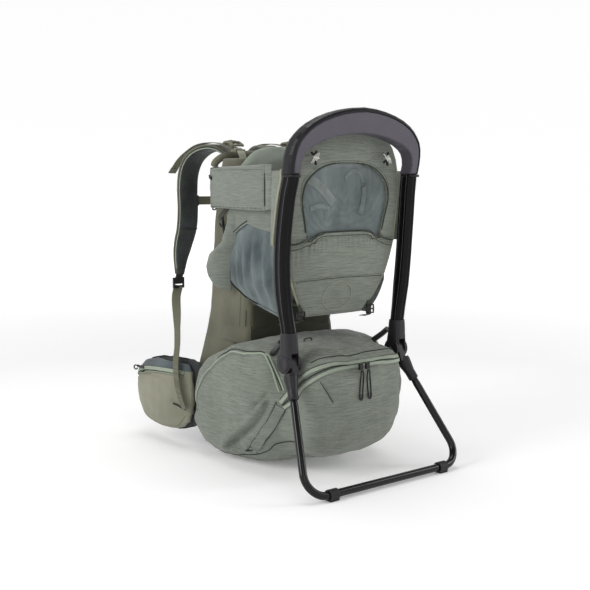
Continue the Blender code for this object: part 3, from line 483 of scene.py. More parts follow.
def wrinkle(o, amp, scale, seed=0.0, mask=None, ridged=False):
    """Moves the surface in and out along its normal by a stretched noise."""
    ns = normals(o)
    for v, n in zip(o.data.vertices, ns):
        q = Vector((v.co.x * scale[0], v.co.y * scale[1], v.co.z * scale[2] + seed))
        h = noise.noise(q) + 0.5 * noise.noise(q * 2.1 + Vector((7, 3, 1)))
        if ridged:
            h = 0.5 - abs(h) * 1.6
        k = 1.0 if mask is None else mask(v.co)
        v.co += n * (amp * h * k)


def fold(o, lines):
    """Presses grooves (negative) and raises ridges (positive) along polylines: (points, height, radius, tail)."""
    ns = normals(o)
    co = np.array([v.co for v in o.data.vertices])
    mv = np.zeros(len(co))
    for pts, h, r, *rest in lines:
        pts = [Vector(p) for p in pts]
        best = np.full(len(co), 1e9)
        tt = np.zeros(len(co))
        total = sum((b - a).length for a, b in zip(pts, pts[1:]))
        run = 0.0
        for a, b in zip(pts, pts[1:]):
            d = np.array(b - a)
            L = float(np.linalg.norm(d))
            t = np.clip(((co - np.array(a)) @ d) / (L * L), 0, 1)
            dist = np.linalg.norm(co - (np.array(a) + t[:, None] * d), axis=1)
            better = dist < best
            best = np.where(better, dist, best)
            tt = np.where(better, (run + t * L) / total, tt)
            run += L
        fade = np.ones(len(co))
        if rest:
            fade = np.clip(tt / rest[0], 0, 1) * np.clip((1 - tt) / rest[0], 0, 1)
        mv += h * fade * np.exp(-(best / r) ** 2)
    for v, n, k in zip(o.data.vertices, ns, mv):
        if abs(k) > 1e-6:
            v.co += n * k


def bvh(*objs):
    bm = bmesh.new()
    for o in objs:
        bm.from_mesh(o.data)
    t = BVHTree.FromBMesh(bm)
    bm.free()
    return t


def snap(points, tree, lift=0.0, n=None):
    """Points pulled on to the nearest surface, with its normals."""
    pts = spline(points, n) if n else [Vector(p) for p in points]
    out, ns = [], []
    for p in pts:
        q, nn, _, _ = tree.find_nearest(p)
        out.append(q + nn * lift)
        ns.append(nn)
    for _ in range(2):
        out = [out[0]] + [(a + b * 2 + c) / 4 for a, b, c in zip(out, out[1:], out[2:])] + [out[-1]]
    return out, ns


def piping(name, points, tree, r, mat, body, lift=0.0005, n=80):
    pts, _ = snap(points, tree, lift, n)
    return tube(name, pts, r, mat, body, 8)


def tape(name, points, tree, w, t, mat, body, lift=0.0006, n=80, crown=5.0):
    """Flat tape sewn on the surface: its width lies across the path, flat on the cloth."""
    pts, ns = snap(points, tree, lift + t / 2, n)
    sides = []
    for i, p in enumerate(pts):
        d = (pts[min(i + 1, len(pts) - 1)] - pts[max(i - 1, 0)]).normalized()
        sides.append(d.cross(ns[i]).normalized())
    return obj(name, sweep(pts, oval(w, t, 14, crown), sides), mat, body)


def stitches(name, points, tree, body, mat="stitch", pitch=0.0042, r=0.00045, lift=0.0002):
    """A row of short thread stitches."""
    base, _ = snap(points, tree, lift, 200)
    total = sum((b - a).length for a, b in zip(base, base[1:]))
    m = max(2, int(total / pitch))
    pts = spline(base[::4] + [base[-1]], m * 3 + 1)
    bm = bmesh.new()
    for k in range(m):
        a, b = pts[k * 3], pts[k * 3 + 2]
        mid = (a + b) / 2
        tube("x", [a, mid, b], r, None, None, 5, True, bm)
    return obj(name, bm, mat, body)


def flip(p):
    return Vector((-p[0], p[1], p[2]))


def both(fn):
    fn("left", -1)
    fn("right", 1)


def grid(fn, nu, nv, thick=0.0, name="", mat="", body="", mats=None, pick=None):
    """A sheet from fn(u, v); with thick it is a closed crowned form whose rim closes on itself."""
    P = [[Vector(fn(i / (nu - 1), j / (nv - 1))) for i in range(nu)] for j in range(nv)]
    bm = bmesh.new()
    if not thick:
        vs = [[bm.verts.new(p) for p in row] for row in P]
        for j in range(nv - 1):
            for i in range(nu - 1):
                f = bm.faces.new((vs[j][i], vs[j][i + 1], vs[j + 1][i + 1], vs[j + 1][i]))
                if pick:
                    f.material_index = pick((i + 0.5) / (nu - 1), (j + 0.5) / (nv - 1))
        return obj(name, bm, mat, body, mats=mats)
    N = [[None] * nu for _ in range(nv)]
    for j in range(nv):
        for i in range(nu):
            a = P[j][min(i + 1, nu - 1)] - P[j][max(i - 1, 0)]
            b = P[min(j + 1, nv - 1)][i] - P[max(j - 1, 0)][i]
            N[j][i] = a.cross(b).normalized()
    tk = thick if callable(thick) else (lambda u, v: thick)

    def h(i, j):
        u, v = i / (nu - 1), j / (nv - 1)
        e = min(u, 1 - u, v, 1 - v)
        return tk(u, v)[0] if isinstance(tk(u, v), tuple) else tk(u, v) / 2 * (0.12 if e <= 0 else min(1.0, 0.45 + e * 14) ** 0.6)
    F = [[bm.verts.new(P[j][i] + N[j][i] * h(i, j)) for i in range(nu)] for j in range(nv)]
    B = [[bm.verts.new(P[j][i] - N[j][i] * h(i, j)) for i in range(nu)] for j in range(nv)]
    for j in range(nv - 1):
        for i in range(nu - 1):
            f = bm.faces.new((F[j][i], F[j][i + 1], F[j + 1][i + 1], F[j + 1][i]))
            g = bm.faces.new((B[j][i], B[j + 1][i], B[j + 1][i + 1], B[j][i + 1]))
            if pick:
                f.material_index = g.material_index = pick((i + 0.5) / (nu - 1), (j + 0.5) / (nv - 1))
    rim = [(i, 0) for i in range(nu)] + [(nu - 1, j) for j in range(1, nv)] + [(i, nv - 1) for i in range(nu - 2, -1, -1)] + [(0, j) for j in range(nv - 2, 0, -1)]
    for k in range(len(rim)):
        (a, b), (c, d) = rim[k], rim[(k + 1) % len(rim)]
        bm.faces.new((F[b][a], F[d][c], B[d][c], B[b][a]))
    return obj(name, bm, mat, body, mats=mats)


def dress(node, mat):
    o = NODES[node]
    o.data.materials.clear()
    o.data.materials.append(M[mat])
    for p in o.data.polygons:
        p.material_index = 0


# ------------------------------------------------------------------ hard parts that keep their CAD shape
for n, k in (("arch_rim", "arch_rim"), ("arch_face", "arch_face"), ("back_frame_tube", "aluminium"), ("pivot_pin_left", "steel"), ("pivot_pin_right", "steel"),
             ("kickstand_foot_left", "rubber"), ("kickstand_foot_right", "rubber"), ("canopy_hook_left", "hook"), ("canopy_hook_right", "hook"),
             ("lifter_buckle_left", "buckle_olive"), ("lifter_buckle_right", "buckle_olive"), ("strap_ladder_lock_left", "buckle"), ("strap_ladder_lock_right", "buckle"),
             ("sternum_buckle_female", "buckle"), ("sternum_buckle_male", "buckle"), ("hip_buckle_female", "buckle"), ("hip_buckle_male", "buckle"),
             ("bag_zip_slider_left", "black"), ("bag_zip_slider_right", "black"), ("hip_zip_slider_left", "black"), ("hip_zip_slider_right", "black"),
             ("knuckle_left", "knuckle"), ("knuckle_right", "knuckle"), ("kickstand_socket_left", "knuckle"), ("kickstand_socket_right", "knuckle")):
    dress(n, k)

# ------------------------------------------------------------------ hoop legs: extruded bars with channels down each face
LEG = [(0.1618, -0.1925, 0.6300), (0.1620, -0.1920, 0.6190), (0.1650, -0.1862, 0.590), (0.1678, -0.1800, 0.540), (0.1690, -0.1755, 0.495), (0.1684, -0.1726, 0.449),
       (0.1655, -0.1710, 0.404), (0.1600, -0.1712, 0.362), (0.1546, -0.1722, 0.330), (0.1510, -0.1728, 0.305), (0.1500, -0.1728, 0.290)]


def leg_section():
    """Rounded bar 26 by 36 mm; each side and face has a shallow channel between two beads."""
    w, d = 0.0130, 0.0180
    q = [(w - 0.0014, 0.0), (w - 0.0014, 0.0040), (w - 0.0002, 0.0052), (w, 0.0070), (w - 0.0004, 0.0098), (w - 0.0018, 0.0128), (w - 0.0042, 0.0155),
         (w - 0.0068, d - 0.0010), (w - 0.0082, d), (w - 0.0094, d - 0.0002), (w - 0.0102, d - 0.0018), (0.0, d - 0.0020)]
    right = q + [(-u, v) for u, v in reversed(q[:-1])]
    return right + [(u, -v) for u, v in reversed(right[1:-1])]


def leg(side, s):
    path = spline([V(s * x, y, z) for x, y, z in LEG], 56)
    o = obj(f"leg_bar_{side}", sweep(path, leg_section(), (1, 0, 0), lambda t: (1.0, interp([(0, 1), (0.70, 1), (0.86, 0.78), (1, 0.76)], t))), "frame_black", "carrier")
    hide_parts(f"hoop_leg_{side}")
    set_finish(o, "frame_black")
    # painted highlights: thin grey lines along the beads stand in for the bars' gloss highlights
    bm = bmesh.new()
    for u, v in ((0.01285, 0.0070), (0.01285, -0.0070), (-0.01285, 0.0070), (-0.01285, -0.0070), (0.0048, -0.01795), (-0.0048, -0.01795)):
        line = []
        for i, (p, n, b) in enumerate(frames(path, (1, 0, 0))):
            k = interp([(0, 1), (0.70, 1), (0.86, 0.78), (1, 0.76)], i / (len(path) - 1))
            line.append(p + n * u + b * (v * k))
        tube("x", line[:-3], 0.00055, None, None, 5, True, bm)
    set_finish(obj(f"leg_highlight_lines_{side}", bm, "leg_highlight_paint", "carrier"), "frame_black")


both(leg)

# arch: joint collars where the bars enter it
def collar(side, s):
    c = V(s * 0.1630, -0.1955, 0.0)
    rings = []
    for z, k in ((0.6240, 0.97), (0.6248, 1.0), (0.6286, 1.0), (0.6294, 0.97)):
        rings.append([Vector((c.x + u * k, c.y - 0.001 + v * k, z)) for u, v in oval(0.0276, 0.0372, 40, 3.4)])
    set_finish(obj(f"arch_collar_{side}", loft(rings), "arch_rim", "carrier"), "frame_black")


both(collar)

# ------------------------------------------------------------------ kickstand tube
CX, CY, BZ, BR, PIV = 0.2178, -0.3110, 0.0118, 0.042, (0.150, -0.172, 0.250)


def kick():
    corner, piv = Vector((CX, CY, BZ)), Vector(PIV)
    up, inn = (piv - corner).normalized(), Vector((-1, 0, 0))
    half = up.angle(inn) / 2
    reach = BR / math.tan(half)
    centre = corner + (up + inn).normalized() * (BR / math.sin(half))
    a, b = corner + up * reach - centre, corner + inn * reach - centre
    turn = a.angle(b)
    d = (corner - piv).normalized()
    pts = [piv + d * 0.052, piv + d * 0.09, piv + d * 0.16]
    for k in range(22):
        t = k / 21
        pts.append(centre + (a * math.sin((1 - t) * turn) + b * math.sin(t * turn)) / math.sin(turn))
    pts = pts + [Vector((0.05, CY, BZ))]
    full = pts + [Vector((-p.x, p.y, p.z)) for p in reversed(pts)]
    return [V(*p) for p in full]


o = tube("kick_tube", kick(), 0.008, "tube", "kickstand", 28)
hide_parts("kickstand_tube")
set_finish(o, "tube_black")


def kick_trim(side, s):
    """Ring round the socket where the tube enters it, and the hinge's cover cap with a shallow recess at its centre."""
    d = (Vector((CX, CY, BZ)) - Vector(PIV)).normalized()
    at = V(s * (PIV[0] + d.x * 0.0785), PIV[1] + d.y * 0.0785, PIV[2] + d.z * 0.0785)
    dd = Vector((d.x * s, d.y, d.z))
    bm = tube("x", [at - dd * 0.003, at - dd * 0.001, at + dd * 0.002], 0.0112, None, None, 24, True)
    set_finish(obj(f"socket_ring_{side}", bm, "black", "kickstand"), "knuckle_grey")
    rings = []
    for x, r in ((0.1652, 0.0175), (0.1662, 0.0172), (0.1670, 0.0150), (0.1672, 0.0085), (0.1668, 0.0075), (0.1668, 0.0040)):
        rings.append([V(s * x, PIV[1] + r * math.cos(a * math.pi / 16), PIV[2] + r * math.sin(a * math.pi / 16)) for a in range(32)])
    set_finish(obj(f"hinge_cap_{side}", loft(rings), "knuckle", "carrier"), "knuckle_grey")


both(kick_trim)

# ------------------------------------------------------------------ stuffed pieces grown from their CAD solids
def bag_shape(p):
    z = p.z
    k = sm((0.135 - z) / 0.14)
    y0 = -0.05 + YS
    if p.y < y0:
        p.y = y0 + (p.y - y0) * (1 - 0.085 * k)
        p.x *= 1 - 0.055 * k * sm((y0 - p.y) / 0.12)
    y = p.y - YS
    side = sm((abs(p.x) - 0.130) / 0.035)
    s = 1 if p.x > 0 else -1
    low = sm((0.120 - z) / 0.10)
    p.x += s * side * (0.0070 + 0.0070 * low * sm((y + 0.02) / 0.08))
    p.y += side * sm((y - 0.050) / 0.08) * (0.0110 + 0.0100 * low)
    p.x += s * 0.004 * low * sm((y - 0.040) / 0.09) * sm((abs(p.x) - 0.08) / 0.05)
    return p


bag = soft_from(["lower_bag"], "bag_shell", "heather", "carrier", 0.006, 10, 0.007, 2.2, bag_shape)
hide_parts("lower_bag")
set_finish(bag, "heather")
column = soft_from(["column_cover_left", "column_cover_right"], "column_shell", "olive", "carrier", 0.0052, 9, 0.004, 0.0, None)
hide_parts("column_cover_left", "column_cover_right")
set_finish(column, "olive")
lumbar = soft_from(["lumbar_pad"], "lumbar_cushion", "net_dark", "carrier", 0.006, 10, 0.006, 1.6, None)
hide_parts("lumbar_pad")
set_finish(lumbar, "mesh_dark")
yoke = soft_from(["yoke_pad"], "yoke_cushion", "net_dark", "shoulder_harness", 0.005, 6, 0.004, 1.4, None)
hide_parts("yoke_pad")
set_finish(yoke, "mesh_dark")
def drool_shape(p):
    x = p.x * 1.34
    k = min(1.0, max(0.0, (abs(x) - 0.060) / 0.080))
    return Vector((x, p.y + 0.006 * k, 0.592 + (p.z - 0.592) * (1 - 0.36 * k * k)))


drool = soft_from(["drool_pad"], "drool_roll", "mint", "carrier", 0.0046, 9, 0.005, 2.0, drool_shape)
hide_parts("drool_pad")
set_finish(drool, "pad_green")
seat = soft_from(["seat_pad"], "seat_cushion", "mint", "child_seat", 0.0048, 6, 0.006, 2.0, None)
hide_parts("seat_pad")
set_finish(seat, "pad_green")
CUFF, WING, POCK = {}, {}, {}


def cuff_shape(p):
    y, z = p.y - YS, p.z
    k = sm((z - 0.452) / 0.034)
    y = 0.004 + (y - 0.004) * (1 - 0.36 * k)
    y = 0.040 + (y - 0.004) * 0.70 - 0.020 * k
    f = sm((y - 0.045) / 0.050)
    if z < 0.430:
        z = 0.430 - (0.430 - z) * (0.86 - 0.56 * f)
    b = math.exp(-((z - 0.418) / 0.026) ** 2)
    s = 1 if p.x > 0 else -1
    return Vector((p.x + s * 0.0030 * b, y + 0.0045 * b * f + YS, z))


def grown(side, s):
    c = soft_from([f"leg_cuff_{side}"], f"cuff_{side}", "heather_light", "carrier", 0.0036, 8, 0.003, 0.8, cuff_shape)
    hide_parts(f"leg_cuff_{side}")
    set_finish(c, "pad_green")
    CUFF[side] = c
    w = soft_from([f"hip_wing_{side}"], f"wing_pad_{side}", "net_dark", f"hip_wing_{side}", 0.0042, 6, 0.0025, 0.8, None)
    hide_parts(f"hip_wing_{side}")
    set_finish(w, "mesh_dark")
    WING[side] = w
    p = soft_from([f"hip_pocket_{side}"], f"pocket_pouch_{side}", "pocket", f"hip_wing_{side}", 0.0042, 8, 0.005, 2.0, None)
    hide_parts(f"hip_pocket_{side}")
    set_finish(p, "olive")
    POCK[side] = p


both(grown)
run_sims()

# ------------------------------------------------------------------ lower bag: panels, folds, zips, loops
raw = bvh(bag)


def on_side(s, pts, n=24):
    """A polyline (y, z) laid on the bag's flank."""
    return snap([V(s * 0.172, y, z) for y, z in spline2(pts, n)], raw)[0]


def spline2(pts, n):
    return [(p.y, p.z) for p in spline([Vector((0, a, b)) for a, b in pts], n)]


def on_rear(pts, n=24):
    return snap([V(p.x, -0.24, p.z) for p in spline([Vector((a, 0, b)) for a, b in pts], n)], raw)[0]


ZIP_U = [(-0.1400, -0.1355, 0.1640), (-0.1353, -0.1450, 0.1750), (-0.1305, -0.1600, 0.1890), (-0.1294, -0.1784, 0.2077), (-0.1275, -0.1922, 0.2221), (-0.1217, -0.2043, 0.2336), (-0.1095, -0.2148, 0.2410),
         (-0.0960, -0.2207, 0.2453), (-0.0724, -0.2242, 0.2482), (-0.0474, -0.2265, 0.2484), (0.0008, -0.2283, 0.2475), (0.0353, -0.2276, 0.2470), (0.0652, -0.2266, 0.2456), (0.1000, -0.2210, 0.2434),
         (0.1230, -0.2050, 0.2430), (0.1420, -0.1650, 0.2430)]
ZIP_L = [(-0.1380, -0.1420, 0.1520), (-0.1340, -0.1540, 0.1600), (-0.1290, -0.1711, 0.1730), (-0.1297, -0.1886, 0.1908), (-0.1274, -0.1985, 0.2046), (-0.1208, -0.2096, 0.2158), (-0.1123, -0.2183, 0.2243),
         (-0.0987, -0.2240, 0.2305), (-0.0755, -0.2279, 0.2355), (-0.0428, -0.2307, 0.2372), (0.0008, -0.2300, 0.2370), (0.0353, -0.2290, 0.2368), (0.0652, -0.2280, 0.2352), (0.1000, -0.2230, 0.2335),
         (0.1230, -0.2070, 0.2330), (0.1420, -0.1680, 0.2330)]
ZIP = [tuple((a + b) / 2 for a, b in zip(p, q)) for p, q in zip(ZIP_U, ZIP_L)]
FOLD = [(-0.1400, 0.1620), (-0.1200, 0.1560), (-0.1067, 0.1357), (-0.0760, 0.1045), (-0.0267, 0.0704), (0.0113, 0.0424), (0.0445, 0.0154)]
for s in (-1, 1):
    fold(bag, [
        (on_side(s, FOLD, 60), -0.0120, 0.0075, 0.08),
        (on_side(s, [(y + 0.010, z + 0.010) for y, z in FOLD], 60), 0.0070, 0.0085, 0.14),
        (on_side(s, [(-0.1250, 0.1500), (-0.0960, 0.1120), (-0.0600, 0.0780), (-0.0350, 0.0560)]), 0.0030, 0.0080, 0.12),
        (on_side(s, [(-0.1350, 0.1830), (-0.1119, 0.1690), (-0.0873, 0.1508), (-0.066, 0.140)]), -0.0080, 0.0055, 0.25),
        (on_side(s, [(-0.130, 0.196), (-0.095, 0.184), (-0.050, 0.176)]), 0.0024, 0.0100, 0.30),
        (on_side(s, [(-0.020, 0.140), (-0.002, 0.100), (0.020, 0.050)]), 0.0034, 0.0130, 0.25),
        (on_side(s, [(0.020, 0.150), (0.034, 0.100), (0.050, 0.045)]), -0.0022, 0.0120, 0.25),
        (on_side(s, [(0.070, 0.180), (0.082, 0.110), (0.080, 0.045)]), 0.0020, 0.0140, 0.25),
        (on_side(s, [(-0.0391, 0.0414), (-0.0730, 0.0410), (-0.1052, 0.0353)]), -0.0026, 0.0045, 0.15),
    ])
fold(bag, [
    (on_rear([(-0.1097, 0.2143), (-0.0977, 0.1934), (-0.0841, 0.1694)]), -0.0050, 0.0040, 0.25),
    (on_rear([(-0.118, 0.178), (-0.104, 0.160), (-0.080, 0.146)]), -0.0045, 0.0110, 0.3),
    (on_rear([(0.128, 0.215), (0.118, 0.190), (0.104, 0.168)]), -0.0040, 0.0060, 0.3),
    (on_rear([(0.070, 0.205), (0.095, 0.185), (0.120, 0.150)]), 0.0022, 0.0120, 0.3),
    (on_rear([(-0.120, 0.150), (-0.060, 0.128), (0.020, 0.122), (0.100, 0.135)]), -0.0030, 0.0110, 0.25),
    (on_rear([(-0.110, 0.090), (-0.020, 0.078), (0.090, 0.090)]), -0.0024, 0.0110, 0.25),
    (on_rear([(-0.100, 0.180), (-0.020, 0.205), (0.060, 0.200)]), 0.0028, 0.0160, 0.25),
    (on_rear([(-0.085, 0.118), (-0.010, 0.104), (0.080, 0.112)]), 0.0024, 0.0120, 0.3),
    (on_rear([(-0.100, 0.055), (-0.010, 0.045), (0.080, 0.060)]), 0.0018, 0.0110, 0.3),
    ([V(*q) for q in ZIP], 0.0022, 0.0110),
    ([V(*q) + Vector((0, 0, 0.009)) for q in ZIP_U], -0.0020, 0.0035),
    ([V(*q) + Vector((0, 0, -0.008)) for q in ZIP_L], -0.0018, 0.0035),
])
wrinkle(bag, 0.0016, (16, 16, 34), 3.1)
wrinkle(bag, 0.0007, (60, 60, 22), 1.7)
skin = bvh(bag)

zpath = [V(*q) for q in ZIP]
upper, lower = [V(*q) for q in ZIP_U], [V(*q) for q in ZIP_L]
tape("bag_zip_tape_0", [a.lerp(b, 0.06) for a, b in zip(upper, lower)], skin, 0.0082, 0.0020, "mint_trim", "carrier", 0.0006, 150)
tape("bag_zip_tape_1", [a.lerp(b, 0.94) for a, b in zip(upper, lower)], skin, 0.0066, 0.0020, "mint_trim", "carrier", 0.0006, 150)
tape("bag_zip_coil", zpath, skin, 0.0030, 0.0022, "stitch", "carrier", 0.0007, 150, 2.2)
stitches("bag_zip_stitch_a", [p + Vector((0, 0, 0.0068)) for p in upper], skin, "carrier")
stitches("bag_zip_stitch_b", [p + Vector((0, 0, -0.0058)) for p in lower], skin, "carrier")
tape("bag_zip_flap_edge", [p + Vector((0, 0, 0.0052)) for p in upper], skin, 0.0016, 0.0022, "stitch", "carrier", 0.0004, 150)

# pulls: doubled cord loops with a moulded end, each on its slider
for side, x in (("left", -0.016), ("right", 0.002)):
    s = -1 if side == "left" else 1
    top = V(x, -0.2447, 0.2310)
    ends = []
    a = [top + Vector((-0.0022, 0, 0)), top + Vector((-0.0042 , 0, -0.018)), top + Vector((-0.0040 + 0.002 * s, 0.0000, -0.042)), top + Vector((-0.0022 + 0.003 * s, 0.0, -0.0590)),
         top + Vector((0.0016 + 0.003 * s, 0.0, -0.0625)), top + Vector((0.0042 + 0.003 * s, 0.0, -0.0580)), top + Vector((0.0044 + 0.002 * s, 0.0000, -0.040)), top + Vector((0.0040, 0, -0.018)), top + Vector((0.0022, 0, 0))]
    o = tube(f"pull_cord_{side}", spline(a, 60), 0.00135, "black_cloth", f"bag_pull_{side}", 10)
    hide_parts(f"bag_zip_pull_{side}")
    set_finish(o, "cord_black")
    tip = spline([top + Vector((-0.0032 + 0.003 * s, 0.0, -0.050)), top + Vector((-0.0022 + 0.003 * s, 0.0, -0.0590)), top + Vector((0.0016 + 0.003 * s, 0.0, -0.0625)),
                  top + Vector((0.0042 + 0.003 * s, 0.0, -0.0580)), top + Vector((0.0046 + 0.003 * s, 0.0, -0.050))], 20)
    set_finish(tube(f"pull_tip_{side}", tip, 0.0021, "black", f"bag_pull_{side}", 10), "cord_black")
    knot = spline([top + Vector((-0.0026, 0, -0.0020)), top + Vector((0, -0.0002, -0.0036)), top + Vector((0.0026, 0, -0.0020))], 10)
    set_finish(tube(f"pull_head_{side}", knot, 0.0019, "black", f"bag_pull_{side}", 10), "cord_black")

# top seams, flank piping, loops and the light compression strap on each flank
def flank(side, s):
    P1 = [(-0.1680, 0.1380, 0.1000), (-0.1700, 0.1320, 0.1181), (-0.1710, 0.1240, 0.1430), (-0.1700, 0.1150, 0.1623), (-0.1700, 0.0909, 0.1891), (-0.1690, 0.0524, 0.2217), (-0.1660, 0.0164, 0.2443),
          (-0.1650, -0.0043, 0.2514), (-0.1650, -0.0378, 0.2518), (-0.1630, -0.0698, 0.2559), (-0.1590, -0.0883, 0.2601), (-0.1560, -0.0993, 0.2572), (-0.1540, -0.1109, 0.2397), (-0.1490, -0.1237, 0.2116), (-0.1430, -0.1355, 0.1853)]
    pts = [V(-s * x, y, z) for x, y, z in P1]
    piping(f"flank_piping_{side}", pts, skin, 0.0021, "mint_trim", "carrier", 0.0009, 150)
    piping(f"flank_seam_{side}", [p + Vector((0, 0.0, 0.0070)) for p in pts[5:11]] + [p + Vector((0, -0.0065, 0.003)) for p in pts[11:]], skin, 0.0012, "stitch", "carrier", 0.0002, 110)
    tape(f"flank_edge_tape_{side}", [p + Vector((0, -0.0120, 0.004)) for p in pts[10:]], skin, 0.0040, 0.0016, "mint_trim", "carrier", 0.0003, 40)
    stitches(f"flank_stitch_{side}", [p + Vector((0, -0.002, -0.0065)) for p in pts[:10]], skin, "carrier")
    SL = [(-0.1450, -0.1265, 0.1640), (-0.1561, -0.1086, 0.1235), (-0.1600, -0.0771, 0.0833), (-0.1550, -0.0325, 0.0401)]
    SR = [(-0.1333, -0.1430, 0.1450), (-0.1430, -0.1206, 0.1108), (-0.1510, -0.0991, 0.0798), (-0.1510, -0.0708, 0.0477)]
    L, R = [V(-s * x, y, z) for x, y, z in SL], [V(-s * x, y, z) for x, y, z in SR]
    tape(f"flank_strap_{side}", [(a + b) / 2 for a, b in zip(L, R)], skin, 0.0225, 0.0022, "heather_light", "carrier", 0.0004, 60, 6.0)
    tape(f"flank_strap_edge_{side}", L, skin, 0.0018, 0.0022, "stitch", "carrier", 0.0002, 60)
    tape(f"flank_strap_hem_{side}", R, skin, 0.0018, 0.0022, "stitch", "carrier", 0.0002, 60)
    tape(f"flank_tab_{side}", [L[-1] + Vector((0, 0.004, 0)), L[-1] + Vector((0, -0.010, 0.003)), L[-1] + Vector((0, -0.022, 0.006))], skin, 0.0030, 0.0022, "stitch", "carrier", 0.0012, 16)
    loop = [V(s * 0.152, 0.126, 0.082), V(s * 0.154, 0.137, 0.077), V(s * 0.154, 0.139, 0.068), V(s * 0.151, 0.128, 0.060)]
    lp, _ = snap([loop[0]], skin)
    lq, _ = snap([loop[3]], skin)
    tube(f"flank_loop_{side}", spline([lp[0], lp[0] + Vector((s * 0.001, 0.0080, -0.001)), lq[0] + Vector((s * 0.001, 0.0080, 0.001)), lq[0]], 18), 0.0019, "black_cloth", "carrier", 8)
    tape(f"lower_seam_{side}", [V(s * 0.150, y, z) for y, z in ((0.110, 0.010), (0.050, 0.006), (-0.020, 0.020), (-0.090, 0.040), (-0.160, 0.055))], skin, 0.0022, 0.0012, "stitch", "carrier", 0.0001, 60)
    x = -0.055 if s < 0 else 0.123
    y = -0.116 if s < 0 else -0.148
    base, _ = snap([V(x - 0.011, y, 0.275), V(x + 0.011, y, 0.275)], skin)
    tube(f"top_loop_{side}", spline([base[0] - Vector((0, 0, 0.001)), base[0] + Vector((0.003, 0.0, 0.0055)), base[1] + Vector((-0.003, 0, 0.0055)), base[1] - Vector((0, 0, 0.001))], 18), 0.0013, "stitch", "carrier", 8)


both(flank)
top, _ = snap([V(x, -0.205 - 0.006 * math.cos(x * 12), 0.262) for x in (-0.128, -0.09, -0.045, 0.0, 0.045, 0.09, 0.128)], skin, 0.0004, 80)
tube("bag_top_seam", top, 0.0012, "stitch", "carrier", 6)
# dark tape in the rear fold's groove: painted crease shadow
tape("bag_crease_shadow", [V(-0.1097, -0.222, 0.2143), V(-0.0977, -0.229, 0.1934), V(-0.0841, -0.232, 0.1694)], skin, 0.0016, 0.0012, "stitch", "carrier", 0.0, 20)

# ------------------------------------------------------------------ back column
wrinkle(column, 0.0012, (14, 14, 7), 9.0)
fold(column, [([V(s * 0.1262, 0.030, 0.300), V(s * 0.1262, 0.026, 0.360), V(s * 0.1262, 0.022, 0.44)], -0.0016, 0.0030) for s in (-1, 1)])
cskin = bvh(column)
for s, side in ((-1, "left"), (1, "right")):
    stitches(f"column_stitch_{side}", [V(s * 0.128, 0.034, 0.300), V(s * 0.128, 0.030, 0.360), V(s * 0.128, 0.026, 0.44)], cskin, "carrier")
    piping(f"column_edge_{side}", [V(s * 0.121, 0.168, 0.290), V(s * 0.121, 0.152, 0.345), V(s * 0.120, 0.142, 0.42), V(s * 0.118, 0.136, 0.52), V(s * 0.114, 0.129, 0.60), V(s * 0.107, 0.120, 0.664)],
           cskin, 0.0016, "cream_trim", "carrier", 0.0006, 70)
    # dark tape low on the column's rear corner: painted crease shade
    tape(f"column_crease_shade_{side}", [V(s * 0.128, 0.012, 0.300), V(s * 0.128, 0.011, 0.318), V(s * 0.128, 0.010, 0.336)], cskin, 0.0016, 0.0010, "stitch", "carrier", 0.0, 24)
# rear wall of the column under the panel, coloured the darker olive as painted shade
o = grid(lambda u, v: V(-0.110 + 0.220 * u, 0.0075 + 0.0035 * math.sin(math.pi * u), 0.290 + 0.055 * v), 40, 14, 0.0020, "column_rear_painted_shade", "olive_painted_shade", "carrier")
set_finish(o, "olive")
# hem that closes the column down to the bag, round both rear corners; its rear middle is the darker olive as painted
# shade, its flanks plain olive
HEM = spline([V(s * x, y, 0.0) for s, x, y in ((-1, 0.1262, 0.105), (-1, 0.1278, 0.062), (-1, 0.1262, 0.028), (-1, 0.1180, 0.0120), (-1, 0.090, 0.0085), (-1, 0.030, 0.0075),
                                                (1, 0.030, 0.0075), (1, 0.090, 0.0085), (1, 0.1180, 0.0120), (1, 0.1262, 0.028), (1, 0.1278, 0.062), (1, 0.1262, 0.105))], 120)


def hem_point(u, v):
    k = u * (len(HEM) - 1)
    i = min(int(k), len(HEM) - 2)
    p = HEM[i].lerp(HEM[i + 1], k - i)
    return Vector((p.x * (1 - 0.030 * v * v), p.y + 0.003 * v * v, 0.262 + 0.040 * v))


o = grid(hem_point, 120, 10, 0.0018, "column_hem", "olive_painted_shade", "carrier", ["olive"], lambda u, v: 0 if 0.235 < u < 0.765 else 1)
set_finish(o, "olive")

# ------------------------------------------------------------------ rear shield with its net window
PW = [(0.333, 0.078), (0.345, 0.090), (0.371, 0.106), (0.418, 0.130), (0.455, 0.142), (0.490, 0.1500), (0.540, 0.1530),
      (0.590, 0.1530), (0.630, 0.1505), (0.660, 0.1460), (0.685, 0.1370), (0.705, 0.1200), (0.720, 0.0900), (0.728, 0.0560)]
PY = [(0.333, -0.132), (0.371, -0.146), (0.418, -0.157), (0.490, -0.165), (0.540, -0.170), (0.590, -0.1745), (0.640, -0.1750), (0.690, -0.170), (0.728, -0.164)]
WIN = [(0.4960, 0.1005), (0.5120, 0.1055), (0.5277, 0.1080), (0.5481, 0.1130), (0.5643, 0.1170), (0.5883, 0.1175), (0.6107, 0.1115), (0.6295, 0.0945), (0.6430, 0.0725), (0.6505, 0.0450), (0.6535, 0.0120)]
HEM = [(0.0, 0.5140), (0.052, 0.5135), (0.066, 0.5115), (0.078, 0.5065), (0.090, 0.4990), (0.104, 0.4925), (0.120, 0.4865), (0.150, 0.4830)]


def hem(x):
    """Height of the gathered hem across the panel: it drops towards both sides."""
    return interp(HEM, abs(x))


def smooth_interp(pts, v):
    return (interp(pts, v - 0.006) + 2 * interp(pts, v) + interp(pts, v + 0.006)) / 4


